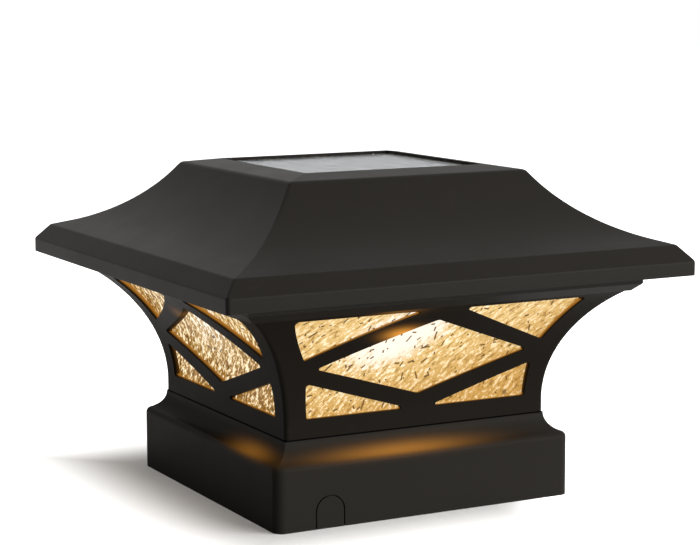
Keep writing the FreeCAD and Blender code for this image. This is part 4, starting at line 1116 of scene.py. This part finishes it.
@dataclass
class SolarPanel:
    """Four strings of cells under clear resin in the roof's recess, with printed fingers and busbars."""

    half_width: float = 34.6 * MM
    field_half: float = 31.6 * MM
    gap: float = 1.2 * MM
    cells_foot: float = 115.8 * MM
    cells_top: float = 116.08 * MM
    cover_foot: float = 116.13 * MM
    cover_top: float = 116.7 * MM
    cover_bevel: float = 0.25 * MM
    rim_gap: float = 0.4 * MM
    rim_lift: float = 0.02 * MM
    fingers: int = 36
    finger: tuple[float, float] = (0.09 * MM, 0.02 * MM)
    finger_share: float = 0.96
    bus: tuple[float, float] = (0.55 * MM, 0.025 * MM)
    bus_share: float = 0.985
    print_lift: float = 0.012 * MM
    bus_lift: float = 0.006 * MM

    def strip_width(self) -> float:
        """Width of one string of cells."""
        return (2 * self.field_half - 3 * self.gap) / 4

    def strips(self) -> list[float]:
        """The middles of the four strings."""
        pitch = self.strip_width() + self.gap
        return [pitch * count for count in (-1.5, -0.5, 0.5, 1.5)]

    def cells(self, silicon: bpy.types.Material, silver: bpy.types.Material) -> None:
        """Lay the cells as four thin bars, then the fingers and two busbars on each.

        Args:
            silicon: finish of the cells.
            silver: finish of the printed lines.
        """
        bars = strip_maker()
        width, length = self.strip_width(), 2 * self.field_half
        thick, middle = self.cells_top - self.cells_foot, (self.cells_top + self.cells_foot) / 2
        wafers = bars.run("cell_wafers", [(x, 0.0, middle) for x in self.strips()],
                          {"Size": (width, length, thick), "Material": silicon})
        adopt(wafers, "roof", "solar_silicon", "solar_cells")
        print_z = self.cells_top + self.print_lift
        step = length / self.fingers
        rows = [-self.field_half + (row + 0.5) * step for row in range(self.fingers)]
        for name, places, size in (
            ("cell_fingers", [(x, y, print_z) for x in self.strips() for y in rows],
             (width * self.finger_share, *self.finger)),
            ("cell_busbars", [(x + way * width / 4, 0.0, print_z + self.bus_lift)
                              for x in self.strips() for way in (1, -1)],
             (self.bus[0], length * self.bus_share, self.bus[1])),
        ):
            adopt(bars.run(name, places, {"Size": size, "Material": silver}), "roof", "contact_metal")

    def cover(self, resin: bpy.types.Material) -> None:
        """Cast the clear cover: a slab with a rim that reaches down round the cells.

        Args:
            resin: its finish.
        """
        edge, inner, bevel = self.half_width, self.field_half + self.rim_gap, self.cover_bevel
        foot = self.cells_foot + self.rim_lift
        rings = [(inner, self.cover_foot), (inner, foot), (edge, foot), (edge, self.cover_top - bevel),
                 (edge - bevel, self.cover_top)]
        mesh = bmesh.new()
        loops = [[mesh.verts.new(place) for place in corners(reach, z)] for reach, z in rings]
        for low, high in zip(loops, loops[1:]):
            for index in range(4):
                after = (index + 1) % 4
                mesh.faces.new((low[index], low[after], high[after], high[index]))
        mesh.faces.new(loops[-1])
        mesh.faces.new(loops[0])
        bmesh.ops.recalc_face_normals(mesh, faces=mesh.faces)
        data = bpy.data.meshes.new("panel_cover")
        mesh.to_mesh(data)
        mesh.free()
        data.materials.append(resin)
        piece = bpy.data.objects.new("panel_cover", data)
        bpy.context.scene.collection.objects.link(piece)
        adopt(piece, "roof", "clear_resin", "solar_cover")

    def build(self, silicon: bpy.types.Material, silver: bpy.types.Material,
              resin: bpy.types.Material) -> None:
        """Build the cells and the cover."""
        self.cells(silicon, silver)
        self.cover(resin)


@dataclass
class RoofUnit:
    """Pagoda shell, tray and the works between them."""

    frame: Mapping[str, Any]

    def build(self, black: bpy.types.Material) -> None:
        """Dress the mouldings and everything that the tray carries.

        Args:
            black: finish of the shell, the tray and the battery cover.
        """
        dress(self.frame, black, "roof_shell", "soffit_tray", "battery_cover")
        for finish, nodes in (
            (MouldedPlastic("dark_moulding", (0.052, 0.052, 0.055), 0.5),
             ("battery_box", "switch_body", "switch_knob")),
            (Rubber("sealant_bead", (0.03, 0.03, 0.03)), ("panel_sealant",)),
            (Rubber("gasket_foam", (0.022, 0.022, 0.022), 0.85), ("tray_gasket",)),
            (Rubber("red_lead_sleeve", (0.45, 0.03, 0.025), 0.45),
             ("panel_leads", "led_leads", "battery_leads")),
            (SolderMask("solder_mask"), ("circuit_board", "led_board")),
            (MouldedPlastic("panel_backboard", (0.6, 0.6, 0.58), 0.5), ("solar_backboard",)),
            (MouldedPlastic("component_epoxy", (0.03, 0.03, 0.03), 0.4), ("board_components",)),
            (PlatedSteel("nickel_contact", (0.72, 0.7, 0.64), 0.22), ("battery_contact", "battery_spring")),
            (Sleeve("cell_sleeve", (0.03, 0.14, 0.30), 24.2 * MM), ("battery_cell",)),
            (Glow("lamp_phosphor", (0.9, 0.78, 0.4), (1.0, 0.82, 0.5), 3.0, (0, 0, 75 * MM), 9 * MM),
             ("leds",)),
            (Glow("frosted_diffuser", (0.9, 0.88, 0.82), (1.0, 0.86, 0.62), 1.4, (0, 0, 68 * MM), 9 * MM),
             ("led_diffuser",)),
        ):
            dress(self.frame, finish.make(), *nodes)
        LOG.info("roof unit dressed")


# --------------------------------------------------------------------------------------------------
# Studio
# --------------------------------------------------------------------------------------------------


@dataclass(frozen=True)
class Lamp:
    """One rectangular soft light; seen says whether mirrored surfaces show it."""

    name: str
    place: Point
    target: Point
    size: tuple[float, float]
    power: float
    colour: Colour = WHITE
    seen: bool = True

    def build(self) -> bpy.types.Object:
        """Hang the light.

        Returns:
            The lamp.
        """
        data = bpy.data.lights.new(self.name, "AREA")
        data.shape = "RECTANGLE"
        data.size, data.size_y = self.size
        data.energy = self.power
        data.color = self.colour
        lamp = bpy.data.objects.new(self.name, data)
        place = Vector(self.place)
        turn = (Vector(self.target) - place).to_track_quat("-Z", "Y").to_matrix().to_4x4()
        lamp.matrix_world = Matrix.Translation(place) @ turn
        lamp.visible_camera = False
        lamp.visible_glossy = self.seen
        bpy.context.scene.collection.objects.link(lamp)
        return lamp


@dataclass
class Studio:
    """Pale floor, white surround, soft lights and the camera.

    The floor's glow is its level near the object and what it gains beyond the edges.
    """

    azimuth: float = -27.74
    elevation: float = 8.03
    roll: float = -0.24
    focal: float = 105.54
    sensor: float = 36.0
    place_in_view: Point = (0.0356 * MM, 76.193 * MM, 758.59 * MM)
    ambient: float = 0.14
    paper: Colour = (0.28, 0.28, 0.28)
    bright: Colour = (0.85, 0.85, 0.85)
    floor_reach: float = 4.0
    floor_drop: float = 0.05 * MM
    floor_glow: tuple[float, float] = (0.10, 0.96)
    fade_edges: tuple[float, float] = (60 * MM, 106 * MM)
    right_edges: tuple[float, float] = (20 * MM, 60 * MM)
    right_shift: float = 50 * MM

    def camera(self) -> None:
        """Put the camera where it stood, as turned axes and a place along them."""
        turn, tilt, lean = (math.radians(angle) for angle in (self.azimuth, self.elevation, self.roll))
        back = Vector((math.sin(turn) * math.cos(tilt), -math.cos(turn) * math.cos(tilt), math.sin(tilt)))
        level = Vector((math.cos(turn), math.sin(turn), 0.0))
        upward = back.cross(level)
        right = math.cos(lean) * level + math.sin(lean) * upward
        up = math.cos(lean) * upward - math.sin(lean) * level
        axes = Matrix((right, up, back)).transposed()
        data = bpy.data.cameras.new("camera")
        data.lens, data.sensor_width, data.sensor_fit = self.focal, self.sensor, "HORIZONTAL"
        data.clip_start, data.clip_end = 0.01, 20.0
        camera = bpy.data.objects.new("camera", data)
        camera.matrix_world = Matrix.Translation(axes @ Vector(self.place_in_view)) @ axes.to_4x4()
        bpy.context.scene.collection.objects.link(camera)
        bpy.context.scene.camera = camera

    def floor(self) -> None:
        """A floor that takes the object's shadow and turns white away from it, sooner on the right.

        To the light itself it is paper, so that it throws little back on the object.
        """
        shader = Shader("pale_floor")
        paper = shader.out("ShaderNodeBsdfDiffuse", None, {"Color": self.paper})
        bright = shader.out("ShaderNodeBsdfDiffuse", None, {"Color": self.bright})
        x, y, _ = shader.parts(shader.place)
        away = shader.math("MAXIMUM", abs(x), abs(y)) + self.right_shift * shader.smooth(x, *self.right_edges)
        near, more = self.floor_glow
        level = near + more * shader.smooth(away, *self.fade_edges)
        lift = shader.out("ShaderNodeEmission", None, {"Color": shader.vector(level, level, level)})
        lifted = shader.out("ShaderNodeAddShader", None, {0: bright, 1: lift})
        mixed = shader.out("ShaderNodeMixShader", None, {0: shader.seen(), 1: paper, 2: lifted})
        shader.node("ShaderNodeOutputMaterial", None, {"Surface": mixed})
        data = bpy.data.meshes.new("floor")
        data.from_pydata(corners(self.floor_reach, -self.floor_drop), [], [(0, 1, 2, 3)])
        data.materials.append(shader.material)
        plane = bpy.data.objects.new("floor", data)
        bpy.context.scene.collection.objects.link(plane)

    def surround(self) -> None:
        """White where it is seen or mirrored, softer as a light."""
        world = bpy.data.worlds.new("surround")
        world.use_nodes = True
        world.node_tree.nodes.clear()
        graph = Graph(world.node_tree)
        strength = self.ambient + graph.seen() * (1.0 - self.ambient)
        light = graph.out("ShaderNodeBackground", None, {"Color": WHITE, "Strength": strength})
        graph.node("ShaderNodeOutputWorld", None, {"Surface": light})
        bpy.context.scene.world = world

    def lights(self) -> None:
        """Hang the soft boxes round the object."""
        centre = (0.0, 0.0, 60 * MM)
        for lamp in (
            Lamp("key", (0.80, -0.55, 1.15), centre, (0.45, 0.45), 12.0, seen=False),
            Lamp("sky", (0.1, 0.5, 1.45), centre, (1.5, 1.5), 2.8),
            Lamp("right_front", (0.75, -1.3, 0.28), centre, (1.0, 0.5), 27.0, (1.0, 0.99, 0.97)),
            Lamp("left_high", (-0.6, 0.05, 1.4), centre, (0.7, 0.7), 3.0, (1.0, 0.88, 0.74)),
        ):
            lamp.build()

    def build(self) -> None:
        """Set up everything round the object."""
        self.camera()
        self.floor()
        self.surround()
        self.lights()
        bpy.context.scene.view_settings.view_transform = "Standard"


def main() -> None:
    """Build the pieces in order."""
    logging.basicConfig(level=logging.INFO, format="%(message)s")
    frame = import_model()
    Studio().build()
    # Skirt and roof are one black plastic: the roof's copy is painted darker, as painted shade for how the
    # light falls on it.
    satin = MouldedPlastic("black_moulding", (0.0135, 0.0120, 0.0102), 0.42, specular=0.035)
    white = MouldedPlastic("white_moulding", (0.8, 0.79, 0.75), 0.35, mottle=0.05).make()
    base = Base(frame)
    # The skirt's copy of the black plastic is painted lighter than the roof's, as painted light for how the
    # light falls on it.
    base.build(replace(satin, name="skirt_moulding", colour=(0.0200, 0.0182, 0.0158), specular=0.01,
                       halos=base.halos(), seam=base.top).make(), white)
    lantern = Lantern(frame)
    lattice = LatticePlastic("lattice_moulding", (0.0110, 0.0092, 0.0074), 0.5, specular=0.015,
                             halos=lantern.every_halo(), seam=base.top).make()
    lantern.build(lattice, HammeredAmber("hammered_amber").make())
    steel = PlatedSteel("black_screw_steel", (0.20, 0.19, 0.18), 0.34).make()
    Screws().build(steel)
    silver = PlatedSteel("printed_silver", (0.62, 0.62, 0.6), 0.42).make()
    SolarPanel().build(Silicon("cell_silicon").make(), silver, ClearResin("clear_resin_cover").make())
    RoofUnit(frame).build(satin.make())
    LOG.info("boxes written")


if __name__ == "__main__":
    main()
